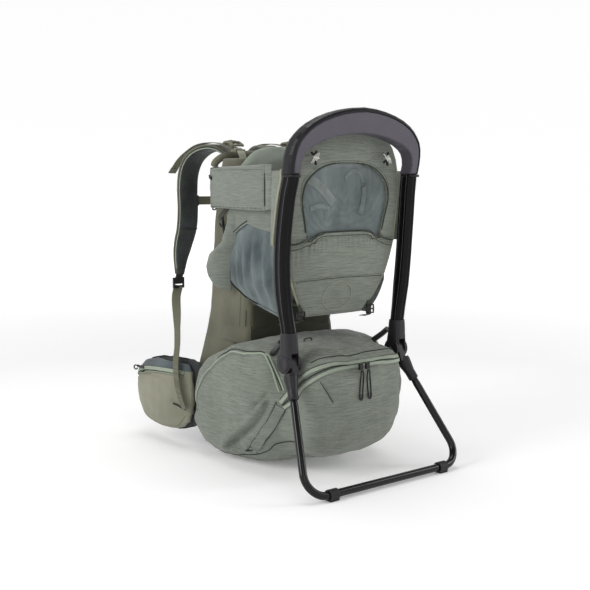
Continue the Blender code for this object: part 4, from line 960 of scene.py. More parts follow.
def shield_y(x, z):
    y = smooth_interp(PY, z) + 0.010 * (x / 0.148) ** 2 - 0.0062
    h = z - hem(x)
    y -= 0.0042 * math.exp(-((h - 0.0045) / 0.0034) ** 2) + 0.0030 * math.exp(-((h + 0.0065) / 0.0034) ** 2)       # double roll of the hem
    y += 0.0022 * math.exp(-((h - 0.0098) / 0.0022) ** 2) + 0.0026 * math.exp(-((h + 0.0012) / 0.0018) ** 2) + 0.0022 * math.exp(-((h + 0.0125) / 0.0026) ** 2)
    pl = math.exp(-((h + 0.020) / 0.016) ** 2) if h < 0 else math.exp(-(h / 0.012) ** 2)
    y -= 0.0010 * pl * (math.sin(x * 520 + 2.0 * math.sin(x * 90)) + 0.6 * noise.noise(Vector((x * 150, 0, z * 30))))
    if h < -0.01:
        y -= 0.0050 * math.sin(math.pi * min(1, max(0, (z - 0.40) / 0.10))) * (1 - (x / 0.15) ** 2)                # fuller below the hem
        y -= 0.0010 * noise.noise(Vector((x * 14, 1.0, z * 40)))
    d = z - (0.4115 - 0.004 * (x / 0.11) ** 2)
    y += 0.0016 * math.exp(-(d / 0.0016) ** 2)                                                                # sewn line
    if z < 0.410:
        y -= 0.0012 * noise.noise(Vector((x * 16, 4.0, z * 60)))
    return y


def win_x(z):
    return smooth_interp(WIN, z) if 0.490 <= z <= 0.6545 else 0.0


def in_window(x, z):
    return hem(x) - 0.0010 < z < 0.6535 and abs(x) < win_x(z)


def shield_pt(u, v):
    z = 0.3335 + (0.7275 - 0.3335) * v
    w = smooth_interp(PW, z)
    if z > 0.700:
        w *= 1.0
    x = (2 * u - 1) * w
    x = math.copysign(abs(x / w) ** 0.94 * w, x) if w else 0
    return x, z


def shield_shell(u, v):
    x, z = shield_pt(u, v)
    y = shield_y(x, z)
    return V(x, y, z)


bm = bmesh.new()
NU, NVV = 150, 210
front, back = [], []
for j in range(NVV):
    fr, bk = [], []
    for i in range(NU):
        u, v = i / (NU - 1), j / (NVV - 1)
        x, z = shield_pt(u, v)
        e = min(u, 1 - u) * 2 * max(0.05, smooth_interp(PW, z))
        ez = min(v, 1 - v) * 0.394
        e = min(e, ez)
        t = 0.0055 * min(1.0, (max(0.0, e) / 0.006) + 0.08) ** 0.5
        wx = win_x(z)
        p = shield_shell(u, v)
        dwin = min(wx - abs(x), z - hem(x), 0.6535 - z) if wx else -1
        rim = math.exp(-(dwin / 0.0030) ** 2) * 0.0012 if 0.486 < z < 0.657 else 0.0
        fr.append(bm.verts.new(p + Vector((0, 0.0055 - t - rim, 0))))
        bk.append(bm.verts.new(p + Vector((0, 0.0055 + t, 0))))
    front.append(fr)
    back.append(bk)
keep = [[not in_window(*shield_pt((i + 0.5) / (NU - 1), (j + 0.5) / (NVV - 1))) for i in range(NU - 1)] for j in range(NVV - 1)]
for j in range(NVV - 1):
    for i in range(NU - 1):
        if keep[j][i]:
            bm.faces.new((front[j][i], front[j][i + 1], front[j + 1][i + 1], front[j + 1][i]))
            bm.faces.new((back[j][i], back[j + 1][i], back[j + 1][i + 1], back[j][i + 1]))
            for di, dj, a, b in ((-1, 0, (j, i), (j + 1, i)), (1, 0, (j + 1, i + 1), (j, i + 1)), (0, -1, (j, i + 1), (j, i)), (0, 1, (j + 1, i), (j + 1, i + 1))):
                ii, jj = i + di, j + dj
                if not (0 <= ii < NU - 1 and 0 <= jj < NVV - 1) or not keep[jj][ii]:
                    bm.faces.new((front[a[0]][a[1]], front[b[0]][b[1]], back[b[0]][b[1]], back[a[0]][a[1]]))
loose = [v for v in bm.verts if not v.link_faces]
bmesh.ops.delete(bm, geom=loose, context="VERTS")
shield = obj("shield_panel", bm, "heather", "carrier")
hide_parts("rear_panel")
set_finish(shield, "heather")
sskin = bvh(shield)


def net_pt(u, v):
    z = 0.4885 + 0.1685 * v
    w = max(0.050, smooth_interp(WIN, min(0.6450, max(0.497, z)))) + 0.0040
    x = (2 * u - 1) * w
    y = smooth_interp(PY, z) + 0.010 * (x / 0.148) ** 2 + 0.0002
    k = math.sin(math.pi * u) * math.sin(math.pi * v)
    y += 0.0030 * k * noise.noise(Vector((x * 20 + z * 9, 2.0, z * 13)))
    y += 0.0018 * k * noise.noise(Vector((x * 60 - z * 30, 5.0, z * 20)))
    # it lies over the harness behind it
    for sx in (-0.047, 0.047):
        y -= 0.0020 * math.exp(-((x - sx * (1 + (z - 0.5) * 0.3)) / 0.016) ** 2) * k
    return V(x, y - 0.0012, z)


window = grid(net_pt, 90, 70, 0.0, "window_net_sheet", "window", "carrier")
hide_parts("window_mesh")
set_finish(window, "mesh_blue")

wskin = bvh(window)
for k, (pts, w) in enumerate((([(-0.100, -0.17, 0.622), (-0.082, -0.17, 0.612), (-0.060, -0.17, 0.596), (-0.036, -0.17, 0.572)], 0.021),
                              ([(-0.006, -0.17, 0.620), (0.004, -0.17, 0.632), (0.020, -0.17, 0.637), (0.036, -0.17, 0.630), (0.044, -0.17, 0.612)], 0.0085),
                              ([(0.046, -0.17, 0.604), (0.047, -0.17, 0.585), (0.045, -0.17, 0.566), (0.041, -0.17, 0.548)], 0.013),
                              ([(-0.094, -0.17, 0.560), (-0.070, -0.17, 0.566), (-0.046, -0.17, 0.560)], 0.010))):
    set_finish(tape(f"inner_strap_{k}", [V(*q) for q in pts], wskin, w, 0.0016, "net_light", "carrier", -0.0004, 40, 2.2), "mesh_blue")

# binding round the window, panel edges, sewn line, plain ring
wb = [V(x, -0.18, z) for z, x in WIN[1:-1]] + [V(0, -0.18, 0.6540)] + [V(-x, -0.18, z) for z, x in reversed(WIN[1:-1])]
tape("window_binding", wb, sskin, 0.0030, 0.0014, "stitch", "carrier", 0.0001, 160)
stitches("window_stitch", [p + Vector((math.copysign(0.0055, p.x) if abs(p.x) > 0.03 else 0, 0, 0.0040 if p.z > 0.6 else 0)) for p in wb], sskin, "carrier")
for k, dz in (("a", 0.0098), ("b", -0.0012), ("c", -0.0125)):
    tape(f"hem_line_{k}", [V(x * 0.1435 / 10, -0.175, hem(x * 0.1435 / 10) + dz) for x in range(-10, 11)], sskin, 0.0014 if k != "b" else 0.0020, 0.0010, "stitch", "carrier", -0.0002, 150)
tape("panel_sewn_line", [V(x * 0.0122, -0.17, 0.4115 - 0.004 * (x / 9) ** 2) for x in range(-10, 11)], sskin, 0.0012, 0.0008, "stitch", "carrier", -0.0002, 100)
stitches("panel_stitch", [V(x * 0.0120, -0.17, 0.4160 - 0.004 * (x / 9) ** 2) for x in range(-10, 11)], sskin, "carrier")
ring = [V(-0.006 + 0.0400 * math.cos(k * math.pi / 40), -0.165, 0.3720 + 0.0345 * math.sin(k * math.pi / 40)) for k in range(81)]
tape("panel_ring", ring, sskin, 0.0016, 0.0010, "webbing_light", "carrier", 0.0002, 160)


def panel_edge(side, s):
    e = [(z, smooth_interp(PW, z)) for z in (0.336, 0.345, 0.371, 0.395, 0.418, 0.440, 0.455, 0.472, 0.490, 0.515, 0.540, 0.590, 0.630, 0.660, 0.685, 0.705, 0.718, 0.7265)]
    pts = [V(s * (x - 0.0004), smooth_interp(PY, z) + 0.010 * (x / 0.148) ** 2 - 0.001, z) for z, x in e]
    # the panel's rolled outer edge, heather cloth drawn near-black: painted shade along its turned side
    o = tube(f"panel_edge_{side}", spline(pts, 110), 0.0021, "black_cloth", "carrier", 8)
    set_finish(o, "heather")
    low = [p + Vector((s * 0.0016, -0.0006, 0)) for p in pts[1:46]]
    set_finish(tube(f"panel_keder_{side}", low, 0.0024, "cream_trim", "carrier", 8), "webbing")
    # buckle and webbing at the panel's lower corner
    c = V(s * 0.0970, -0.1440, 0.3380)
    bm = bmesh.new()
    for dz in (-0.0085, 0.0, 0.0085):
        tube("x", [c + Vector((-0.0100, 0, dz)), c + Vector((0, -0.0006, dz)), c + Vector((0.0100, 0, dz))], 0.0019, None, None, 8, True, bm)
    for dx in (-0.0100, 0.0100):
        tube("x", [c + Vector((dx, 0, -0.0100)), c + Vector((dx, -0.0004, 0)), c + Vector((dx, 0, 0.0100))], 0.0021, None, None, 8, True, bm)
    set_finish(obj(f"corner_triglide_{side}", bm, "black", "carrier"), "buckle")
    strap(f"corner_web_{side}", [c + Vector((-s * 0.004, 0.004, 0.026)), c + Vector((0, 0.0015, 0.010)), c + Vector((0.0, 0.0022, -0.0020)), c + Vector((s * 0.004, 0.010, -0.014)), V(s * 0.116, -0.098, 0.318)],
          0.0150, 0.0018, (1, 0.3, 0), "webbing_dark", "carrier", 30)


both(panel_edge)


# pale keder that joins the cockpit fabric to the hoop leg's outer front edge
def keder(side, s):
    pts = []
    for z in (0.640, 0.62, 0.60, 0.575, 0.55, 0.525, 0.500, 0.487):
        x, y = interp([(-q[2], q[0]) for q in LEG], -z), interp([(-q[2], q[1]) for q in LEG], -z)
        pts.append(V(s * (x + 0.0080), y + 0.0200, z))
    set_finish(tube(f"keder_{side}", spline(pts, 60), 0.0026, "cream_trim", "carrier", 10), "webbing")
    def flap(u, v):
        z = 0.487 + 0.150 * v
        x, y = interp([(-q[2], q[0]) for q in LEG], -z), interp([(-q[2], q[1]) for q in LEG], -z)
        a = Vector((s * (x + 0.0070), y + 0.0205, z))
        b = Vector((s * (0.1520), -0.116, z))
        p = a.lerp(b, u)
        p.x += s * 0.0022 * math.sin(math.pi * u) + s * 0.0012 * noise.noise(Vector((u * 3, z * 30, 1)))
        return V(*p)
    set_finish(grid(flap, 22, 60, 0.0022, f"leg_flap_{side}", "heather", "carrier"), "heather")


both(keder)


# ------------------------------------------------------------------ cockpit's side bands
def band(side, s):
    def f(u, v):
        y = -0.105 + 0.2085 * u
        z = 0.5560 + (0.0875 + 0.0080 * (1 - u)) * v
        k = math.sin(math.pi * u) * math.sin(math.pi * v)
        x = 0.1560 - 0.0060 * max(0, (y - 0.02) / 0.09) + 0.0028 * k
        x += 0.0011 * noise.noise(Vector((y * 22, z * 55, 2.0)))
        x -= 0.0012 * math.exp(-((u - 0.012) / 0.02) ** 2)
        if v < 0.10:
            x += 0.0006 * math.sin(y * 420)
        return V(s * x, y, z + 0.0010 * math.sin(y * 24))
    o = grid(f, 90, 50, 0.0105, f"side_band_{side}", "heather_light", "carrier")
    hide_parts(f"side_panel_{side}")
    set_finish(o, "heather")
    t = bvh(o)
    for k, zz in (("top", 0.6395), ("low", 0.5600)):
        stitches(f"band_stitch_{k}_{side}", [V(s * 0.164, y, zz) for y in (-0.098, -0.05, 0.0, 0.05, 0.096)], t, "carrier")
    stitches(f"band_stitch_end_{side}", [V(s * 0.164, 0.0965, z) for z in (0.562, 0.58, 0.60, 0.62, 0.638)], t, "carrier")
    tape(f"band_tab_{side}", [V(s * 0.158, 0.1035, 0.6255), V(s * 0.158, 0.0970, 0.6235), V(s * 0.158, 0.0890, 0.6215)], t, 0.0075, 0.0022, "black_cloth", "carrier", 0.0004, 12)
    tape(f"band_top_seam_{side}", [V(s * 0.156, 0.097, 0.6450), V(s * 0.156, 0.080, 0.6450), V(s * 0.156, 0.066, 0.6445)], t, 0.0022, 0.0014, "black_cloth", "carrier", 0.0002, 14)
    # turned-under fold at the band's rear end, with a dark tape along it as painted shadow
    def strip(u, v):
        z = 0.5580 + 0.0920 * v
        y = -0.103 - 0.022 * u
        return V(s * (0.1555 + 0.0030 * math.sin(math.pi * u) + 0.0009 * noise.noise(Vector((u * 4, z * 60, 3)))), y, z)
    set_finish(grid(strip, 16, 50, 0.0034, f"band_fold_{side}", "heather", "carrier"), "heather")
    tape(f"band_shadow_{side}", [V(s * 0.159, -0.1030, z) for z in (0.566, 0.59, 0.61, 0.632)], bvh(o, bpy.data.objects[f"band_fold_{side}"]), 0.0020, 0.0012, "stitch", "carrier", 0.0000, 40)
    # loops and slanting webbing that pull the band's lower front corner to the column
    for k, (y0, z0) in enumerate(((0.094, 0.5550),)):
        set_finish(tube(f"band_loop_{k}_{side}", spline([V(s * 0.1500, y0, z0 + 0.004), V(s * 0.1535, y0, z0 - 0.0008), V(s * 0.1500, y0 - 0.003, z0 - 0.0022), V(s * 0.1450, y0 - 0.003, z0 + 0.002)], 18), 0.0016, "black_cloth", "carrier", 8), "webbing")
    strap(f"band_web_{side}", [V(s * 0.1470, 0.044, 0.5600), V(s * 0.1490, 0.058, 0.5480), V(s * 0.1480, 0.076, 0.5350), V(s * 0.1400, 0.090, 0.5250), V(s * 0.1290, 0.098, 0.5180)],
          0.0120, 0.0018, lambda t: (0.10, 0.6, 0.75), "webbing_dark", "carrier", 40)


both(band)


# ------------------------------------------------------------------ seat's side: fabric gusset above, net below
NET_TOP = [(-0.140, 0.5140), (-0.100, 0.5180), (-0.060, 0.5240), (-0.0210, 0.5320), (-0.0100, 0.5150), (0.010, 0.4950), (0.030, 0.4720)]


def seat_net(side, s):
    rows = [(0.3280, -0.118, -0.104), (0.337, -0.126, -0.070), (0.346, -0.131, -0.0360), (0.360, -0.1370, 0.0020), (0.375, -0.1400, 0.0210), (0.390, -0.1410, 0.0370), (0.415, -0.1410, 0.0520), (0.440, -0.1410, 0.0590),
            (0.465, -0.1410, 0.0600), (0.485, -0.1410, 0.0520), (0.505, -0.1410, 0.0300), (0.520, -0.1410, 0.0030), (0.5320, -0.1400, -0.0210)]
    lo = [(z, a) for z, a, _ in rows]
    hi = [(z, b) for z, _, b in rows]

    def f(u, v):
        z = 0.3280 + 0.2040 * v
        y0, y1 = smooth_interp(lo, z), smooth_interp(hi, z)
        y = y0 + (y1 - y0) * u
        k = math.sin(math.pi * min(1, 0.04 + 0.92 * u)) * math.sin(math.pi * min(1, 0.06 + 0.90 * v))
        x = 0.1400 - max(0.0, 0.40 - z) * 0.42 + 0.0125 * k
        fold_ = math.sin(y * 190 + 5.0 * (z - 0.45) + 2.4 * noise.noise(Vector((y * 12, z * 9, 4))))
        x += 0.0026 * k * fold_ + 0.0022 * k * noise.noise(Vector((y * 40, z * 16, 8)))
        return V(s * x, y, z)
    o = grid(f, 80, 84, 0.0, f"seat_net_{side}", "net_blue", "carrier")
    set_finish(o, "mesh_blue")
    t = bvh(o)
    edge = [V(s * 0.140, b, z) for z, b in hi[2:]]
    tape(f"net_edge_{side}", edge, t, 0.0030, 0.0026, "black_cloth", "carrier", 0.0006, 80)
    tape(f"net_binding_{side}", [V(s * 0.138, b, z) for z, b in hi[:4]], t, 0.0040, 0.0024, "net_blue", "carrier", 0.0006, 30)

    def gusset(u, v):
        z0 = 0.3900 + 0.0
        zt = 0.5585
        y = -0.1400 + 0.1950 * u
        zb = interp([(-0.140, 0.5060), (-0.060, 0.5180), (-0.021, 0.5260), (0.003, 0.5150), (0.030, 0.4980), (0.055, 0.4700)], y)
        z = zb + (zt - zb) * v
        x = 0.1440 - 0.0035 * math.sin(math.pi * v) + 0.0016 * noise.noise(Vector((y * 24, z * 18, 6)))
        x += 0.0025 * (1 - v) * sm((y + 0.02) / 0.05)
        return V(s * x, y, z)
    g = grid(gusset, 80, 40, 0.0042, f"seat_gusset_{side}", "heather_light", "carrier")
    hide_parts(f"seat_side_{side}")
    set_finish(g, "heather")
    gt = bvh(g)
    tape(f"gusset_seam_{side}", [V(s * 0.148, -0.023, 0.5330), V(s * 0.148, -0.003, 0.5230), V(s * 0.148, 0.014, 0.5130), V(s * 0.149, 0.032, 0.5020)], gt, 0.0018, 0.0012, "black_cloth", "carrier", 0.0002, 40)


both(seat_net)


def cuff_trim(side, s):
    c = CUFF[side]
    wrinkle(c, 0.0012, (20, 26, 18), 5.0)
    fold(c, [([V(s * 0.162, 0.030, 0.540), V(s * 0.160, 0.018, 0.470), V(s * 0.158, 0.012, 0.400)], -0.0020, 0.0070, 0.2),
             ([V(s * 0.168, 0.060, 0.520), V(s * 0.172, 0.060, 0.450)], 0.0015, 0.0120, 0.3)])
    t = bvh(c)
    # black tape on the column in the gap beside the leg cuff: painted shadow
    tape(f"cuff_gap_shadow_{side}", [V(s * 0.138, 0.100, 0.5400), V(s * 0.137, 0.094, 0.5150), V(s * 0.140, 0.087, 0.4900)], bvh(column), 0.0070, 0.0016, "black_cloth", "carrier", 0.0004, 24)


both(cuff_trim)

# ------------------------------------------------------------------ drool roll, seat, harness
wrinkle(drool, 0.0012, (14, 30, 30), 2.0)
dskin = bvh(drool)
piping("drool_piping", [V(-0.130, 0.034, 0.640), V(-0.095, 0.040, 0.668), V(-0.030, 0.046, 0.686), V(0.030, 0.046, 0.686), V(0.095, 0.040, 0.668), V(0.130, 0.034, 0.640)], dskin, 0.0014, "mint", "carrier", 0.0004, 80)
collar = spline([V(-0.1120, 0.1480, 0.6470), V(-0.1080, 0.1480, 0.6570), V(-0.0930, 0.1440, 0.6680), V(-0.0700, 0.1390, 0.6730), V(-0.0350, 0.1360, 0.6750), V(0, 0.1350, 0.6755),
                 V(0.0350, 0.1360, 0.6750), V(0.0700, 0.1390, 0.6730), V(0.0930, 0.1440, 0.6680), V(0.1080, 0.1480, 0.6570), V(0.1120, 0.1480, 0.6470)], 90)
o = tube("yoke_collar", collar, 0.0085, "olive", "shoulder_harness", 16)
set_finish(o, "olive")
wrinkle(seat, 0.0010, (24, 24, 24), 4.0)
H = [(0.046, -0.096, 0.386), (0.047, -0.122, 0.402), (0.047, -0.137, 0.440), (0.047, -0.1435, 0.500), (0.048, -0.1430, 0.560), (0.050, -0.1360, 0.592)]
for s, side in ((-1, "left"), (1, "right")):
    o = strap(f"harness_web_{side}", [V(s * x, y, z) for x, y, z in H], 0.024, 0.0024, (1, 0, 0), "webbing", "child_seat", 70)
    if s < 0:
        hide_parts("harness_straps")
    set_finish(o, "webbing")
    pad = [V(s * x, y + 0.0042, z) for x, y, z in H[2:]]
    o = strap(f"harness_pad_{side}", pad, 0.040, 0.0065, (1, 0, 0), "mint", "child_seat", 50)
    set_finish(o, "pad_green")
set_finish(strap("harness_cross", [V(-0.056, -0.1400, 0.448), V(0, -0.1412, 0.448), V(0.056, -0.1400, 0.448)], 0.024, 0.0030, (0, 0, 1), "webbing", "child_seat", 30), "webbing")
bm = bmesh.new()
for dz in (-0.012, 0.012):
    tube("x", [V(-0.016, -0.1330, 0.448 + dz), V(0, -0.1325, 0.448 + dz), V(0.016, -0.1330, 0.448 + dz)], 0.0026, None, None, 8, True, bm)
for dx in (-0.016, 0, 0.016):
    tube("x", [V(dx, -0.1330, 0.434), V(dx, -0.1325, 0.448), V(dx, -0.1330, 0.462)], 0.0026, None, None, 8, True, bm)
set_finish(obj("harness_buckle", bm, "black", "child_seat"), "buckle")


# toggles at the canopy hooks: black cord and a pale moulded clip with prongs
def toggle(side, s):
    c = V(s * 0.0985, -0.1925, 0.6630)
    bm = bmesh.new()
    for a in (-0.0045, 0.0, 0.0045):
        tube("x", spline([c + Vector((a - s * 0.006, 0.0015, 0.0100)), c + Vector((a - s * 0.001, -0.0020, 0.0030)), c + Vector((a + s * 0.003, -0.0020, -0.0040)), c + Vector((a + s * 0.007, 0.0010, -0.0105))], 14), 0.00115, None, None, 7, True, bm)
    tube("x", spline([c + Vector((-0.0075, -0.0012, 0.0015)), c + Vector((0, -0.0030, 0.0)), c + Vector((0.0085, -0.0012, -0.0015))], 10), 0.0017, None, None, 8, True, bm)
    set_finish(obj(f"hook_clip_{side}", bm, "hook", "carrier"), "hook_light")
    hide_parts(f"canopy_hook_{side}")
    bm = bmesh.new()
    tube("x", spline([c + Vector((-0.0095, 0.004, 0.0110)), c + Vector((-0.0030, 0.0005, 0.0060)), c + Vector((0.0020, 0.0005, 0.0120)), c + Vector((0.0065, 0.004, 0.0090))], 16), 0.0024, None, None, 8, True, bm)
    tube("x", spline([c + Vector((-0.0085, 0.0035, -0.0090)), c + Vector((-0.0030, 0.0002, -0.0050)), c + Vector((0.0010, 0.0006, -0.0130)), c + Vector((0.0045, 0.004, -0.0120))], 16), 0.0026, None, None, 8, True, bm)
    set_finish(obj(f"hook_cord_{side}", bm, "black_cloth", "carrier"), "cord_black")


both(toggle)

# ------------------------------------------------------------------ shoulder harness
STRAP = [(0.052, 0.1370, 0.6300), (0.054, 0.1430, 0.6620), (0.061, 0.1640, 0.6830), (0.070, 0.2000, 0.6915), (0.079, 0.2370, 0.6850),
         (0.088, 0.2660, 0.6650), (0.0935, 0.2810, 0.6340), (0.0955, 0.2845, 0.5950), (0.0955, 0.2830, 0.5500), (0.0970, 0.2860, 0.5050),
         (0.1015, 0.2965, 0.4650), (0.1070, 0.3010, 0.4300), (0.1125, 0.2980, 0.3930)]


def swidth(t):
    return smooth_interp([(0.0, 0.86), (0.15, 1.0), (0.74, 1.0), (0.81, 0.96), (0.87, 0.84), (0.95, 0.54), (1.0, 0.38)], t)


def shoulder(side, s):
    path = spline([V(s * x, y, z) for x, y, z in STRAP], 150)
    fr = frames(path, (1, 0, 0))
    # b points to the strap's inner or outer side; find which is inner (towards the wearer)
    centre = V(s * 0.09, 0.19, 0.56)

    def layer(name, w, t, off, mat, ribs=0.0, n=26, p=3.2):
        rings = []
        L = 0.0
        for i, (c, nn, b) in enumerate(fr):
            if i:
                L += (path[i] - path[i - 1]).length
            inward = b if b.dot(centre - c) > 0 else -b
            k = swidth(i / (len(path) - 1))
            rb = ribs * (0.5 + 0.5 * math.cos(L / 0.0068 * 2 * math.pi)) if 0.03 < L else 0.0
            ring = []
            for q in range(n):
                a = 2 * math.pi * q / n
                cc, ss = math.cos(a), math.sin(a)
                u = w / 2 * math.copysign(abs(cc) ** (2 / p), cc) * k
                v = (t / 2 + rb) * math.copysign(abs(ss) ** (2 / p), ss)
                ring.append(c + nn * u + inward * (v + off))
            rings.append(ring)
        return obj(f"{name}_{side}", loft(rings), mat, "shoulder_harness")
    outer = layer("strap_shell", 0.0545, 0.0062, -0.0042, "olive", 0.0, 26, 4.0)
    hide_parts(f"shoulder_strap_{side}")
    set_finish(outer, "olive")
    inner = layer("strap_lining", 0.0500, 0.0105, 0.0020, "net_dark", 0.0011, 30, 2.8)
    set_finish(inner, "mesh_dark")
    for e in (-1, 1):
        pts = []
        for i, (c, nn, b) in enumerate(fr):
            inward = b if b.dot(centre - c) > 0 else -b
            pts.append(c + nn * (e * 0.0232 * swidth(i / (len(path) - 1))) + inward * 0.0022)
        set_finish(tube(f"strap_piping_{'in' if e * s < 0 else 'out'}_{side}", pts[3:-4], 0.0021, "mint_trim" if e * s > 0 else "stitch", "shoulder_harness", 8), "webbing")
    # daisy loops down the shell
    t = bvh(outer)
    mid = [c + (b if b.dot(centre - c) < 0 else -b) * 0.008 for c, nn, b in fr]
    tape(f"strap_daisy_{side}", mid[42:112], t, 0.0150, 0.0018, "webbing_dark", "shoulder_harness", 0.0005, 90)
    cross = bmesh.new()
    for i in range(48, 112, 8):
        c, nn, b = fr[i]
        o_ = (b if b.dot(centre - c) < 0 else -b)
        d = (path[i + 1] - path[i - 1]).normalized()
        q, nq, _, _ = t.find_nearest(c + o_ * 0.008)
        tube("x", [q + nq * 0.0022 - nn * 0.0072, q + nq * 0.0026, q + nq * 0.0022 + nn * 0.0072], 0.00075, None, None, 6, True, cross)
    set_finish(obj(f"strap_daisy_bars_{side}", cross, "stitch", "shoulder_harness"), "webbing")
    # seam where the tapered tab starts, and the tab's webbing to the ladder lock
    i = 112
    c, nn, b = fr[i]
    inward = b if b.dot(centre - c) > 0 else -b
    k = swidth(i / 149)
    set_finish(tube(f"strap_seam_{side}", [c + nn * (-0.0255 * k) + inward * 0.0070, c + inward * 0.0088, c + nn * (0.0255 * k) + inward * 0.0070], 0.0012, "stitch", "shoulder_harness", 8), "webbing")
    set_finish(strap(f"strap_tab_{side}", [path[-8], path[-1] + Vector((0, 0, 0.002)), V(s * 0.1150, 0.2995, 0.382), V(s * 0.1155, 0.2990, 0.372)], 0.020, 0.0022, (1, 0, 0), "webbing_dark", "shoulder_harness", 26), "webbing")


both(shoulder)


def lifters(side, s):
    L = [(0.0820, 0.1090, 0.6885), (0.0820, 0.1500, 0.6975), (0.0830, 0.2000, 0.7020), (0.0860, 0.2480, 0.6980), (0.0905, 0.2860, 0.6830), (0.0930, 0.3200, 0.6640), (0.0945, 0.3530, 0.6360)]
    o = strap(f"lifter_web_{side}", [V(s * x, y, z) for x, y, z in L], 0.020, 0.0020, (1, 0, 0), "webbing", None, 90)
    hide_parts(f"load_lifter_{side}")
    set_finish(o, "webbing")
    o["b"] = "blend"
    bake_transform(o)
    o = strap(f"lifter_tail_end_{side}", [V(s * 0.0940, 0.3430, 0.6450), V(s * 0.0944, 0.3500, 0.6387), V(s * 0.0947, 0.3560, 0.6335)], 0.0208, 0.0034, (1, 0, 0), "webbing", "shoulder_harness", 14)
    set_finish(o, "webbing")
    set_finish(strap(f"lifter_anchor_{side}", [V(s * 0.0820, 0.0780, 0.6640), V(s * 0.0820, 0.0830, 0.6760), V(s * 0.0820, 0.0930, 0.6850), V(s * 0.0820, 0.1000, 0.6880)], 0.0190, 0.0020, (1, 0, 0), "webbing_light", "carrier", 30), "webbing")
    bm = bmesh.new()
    for dx in (-0.0135, 0.0135):
        tube("x", spline([V(s * 0.0820 + dx, 0.0960, 0.6925), V(s * 0.0820 + dx, 0.1100, 0.6995), V(s * 0.0820 + dx * 0.96, 0.1260, 0.7015), V(s * 0.0820 + dx * 0.88, 0.1380, 0.6990)], 16), 0.0032, None, None, 10, True, bm)
    for y_, z_, w_ in ((0.0970, 0.6935, 0.0130), (0.1110, 0.7010, 0.0130), (0.1240, 0.7025, 0.0125), (0.1375, 0.6995, 0.0115)):
        tube("x", [V(s * 0.0820 - w_, y_, z_), V(s * 0.0820, y_ + 0.0006, z_ + 0.0010), V(s * 0.0820 + w_, y_, z_)], 0.0034, None, None, 10, True, bm)
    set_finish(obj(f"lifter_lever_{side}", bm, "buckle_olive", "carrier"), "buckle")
    # strap webbing: down from the ladder lock, over the outside of the hip pocket
    W = [(0.1160, 0.2985, 0.3660), (0.1200, 0.2985, 0.3540), (0.1300, 0.2880, 0.3350), (0.1480, 0.2560, 0.2900), (0.1680, 0.2240, 0.2450), (0.1770, 0.2130, 0.2230)]
    X = [(0.1763, 0.2140, 0.2248), (0.1856, 0.2040, 0.2020), (0.1905, 0.1960, 0.1800), (0.1925, 0.1890, 0.1550), (0.1905, 0.1830, 0.1300), (0.1860, 0.1760, 0.1060), (0.1820, 0.1720, 0.0960)]
    up = strap(f"web_upper_{side}", [V(s * x, y, z) for x, y, z in W], 0.0215, 0.0020, lambda t: (s * (0.75 - 0.75 * min(1, t * 1.5)), 0.4 + 0.6 * t, 0.0), "webbing", None, 80)
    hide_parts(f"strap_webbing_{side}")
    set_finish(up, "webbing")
    up["b"] = "blend"
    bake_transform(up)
    lo = strap(f"web_lower_{side}", [V(s * x, y, z) for x, y, z in X], 0.0215, 0.0020, lambda t: (0.0, 0.85 + 0.15 * min(1, t * 2), 0.0), "webbing", None, 60)
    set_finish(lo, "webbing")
    lo["b"] = "blend"
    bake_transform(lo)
    j = tape(f"web_anchor_{side}", [V(s * 0.19, 0.170, 0.092), V(s * 0.19, 0.182, 0.096), V(s * 0.19, 0.196, 0.101), V(s * 0.19, 0.212, 0.104)], bvh(POCK[side]), 0.0042, 0.0020, "stitch", f"hip_wing_{side}", 0.0004, 24)
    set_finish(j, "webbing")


both(lifters)


def sternum(side, s):
    o = strap(f"sternum_web_{side}", [V(s * 0.0690, 0.2825, 0.5680), V(s * 0.0560, 0.2800, 0.5680), V(s * 0.0420, 0.2785, 0.5680), V(s * 0.0315, 0.2780, 0.5680)], 0.0200, 0.0020, (0, 0, 1), "webbing", "sternum_strap", 40)
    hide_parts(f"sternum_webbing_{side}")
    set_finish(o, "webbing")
    bm = bmesh.new()
    c = V(s * 0.0680, 0.2825, 0.5680)
    for dz in (-0.0105, 0.0105):
        tube("x", [c + Vector((-0.0022, -0.0045, dz)), c + Vector((0.0, 0.0, dz * 1.02)), c + Vector((0.0022, 0.0045, dz))], 0.0018, None, None, 8, True, bm)
    for dx in (-0.0022, 0.0022):
        tube("x", [c + Vector((dx, dx * 2, -0.0110)), c + Vector((dx * 1.05, dx * 2, 0)), c + Vector((dx, dx * 2, 0.0110))], 0.0016, None, None, 8, True, bm)
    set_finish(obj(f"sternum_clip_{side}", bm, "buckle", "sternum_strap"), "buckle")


both(sternum)


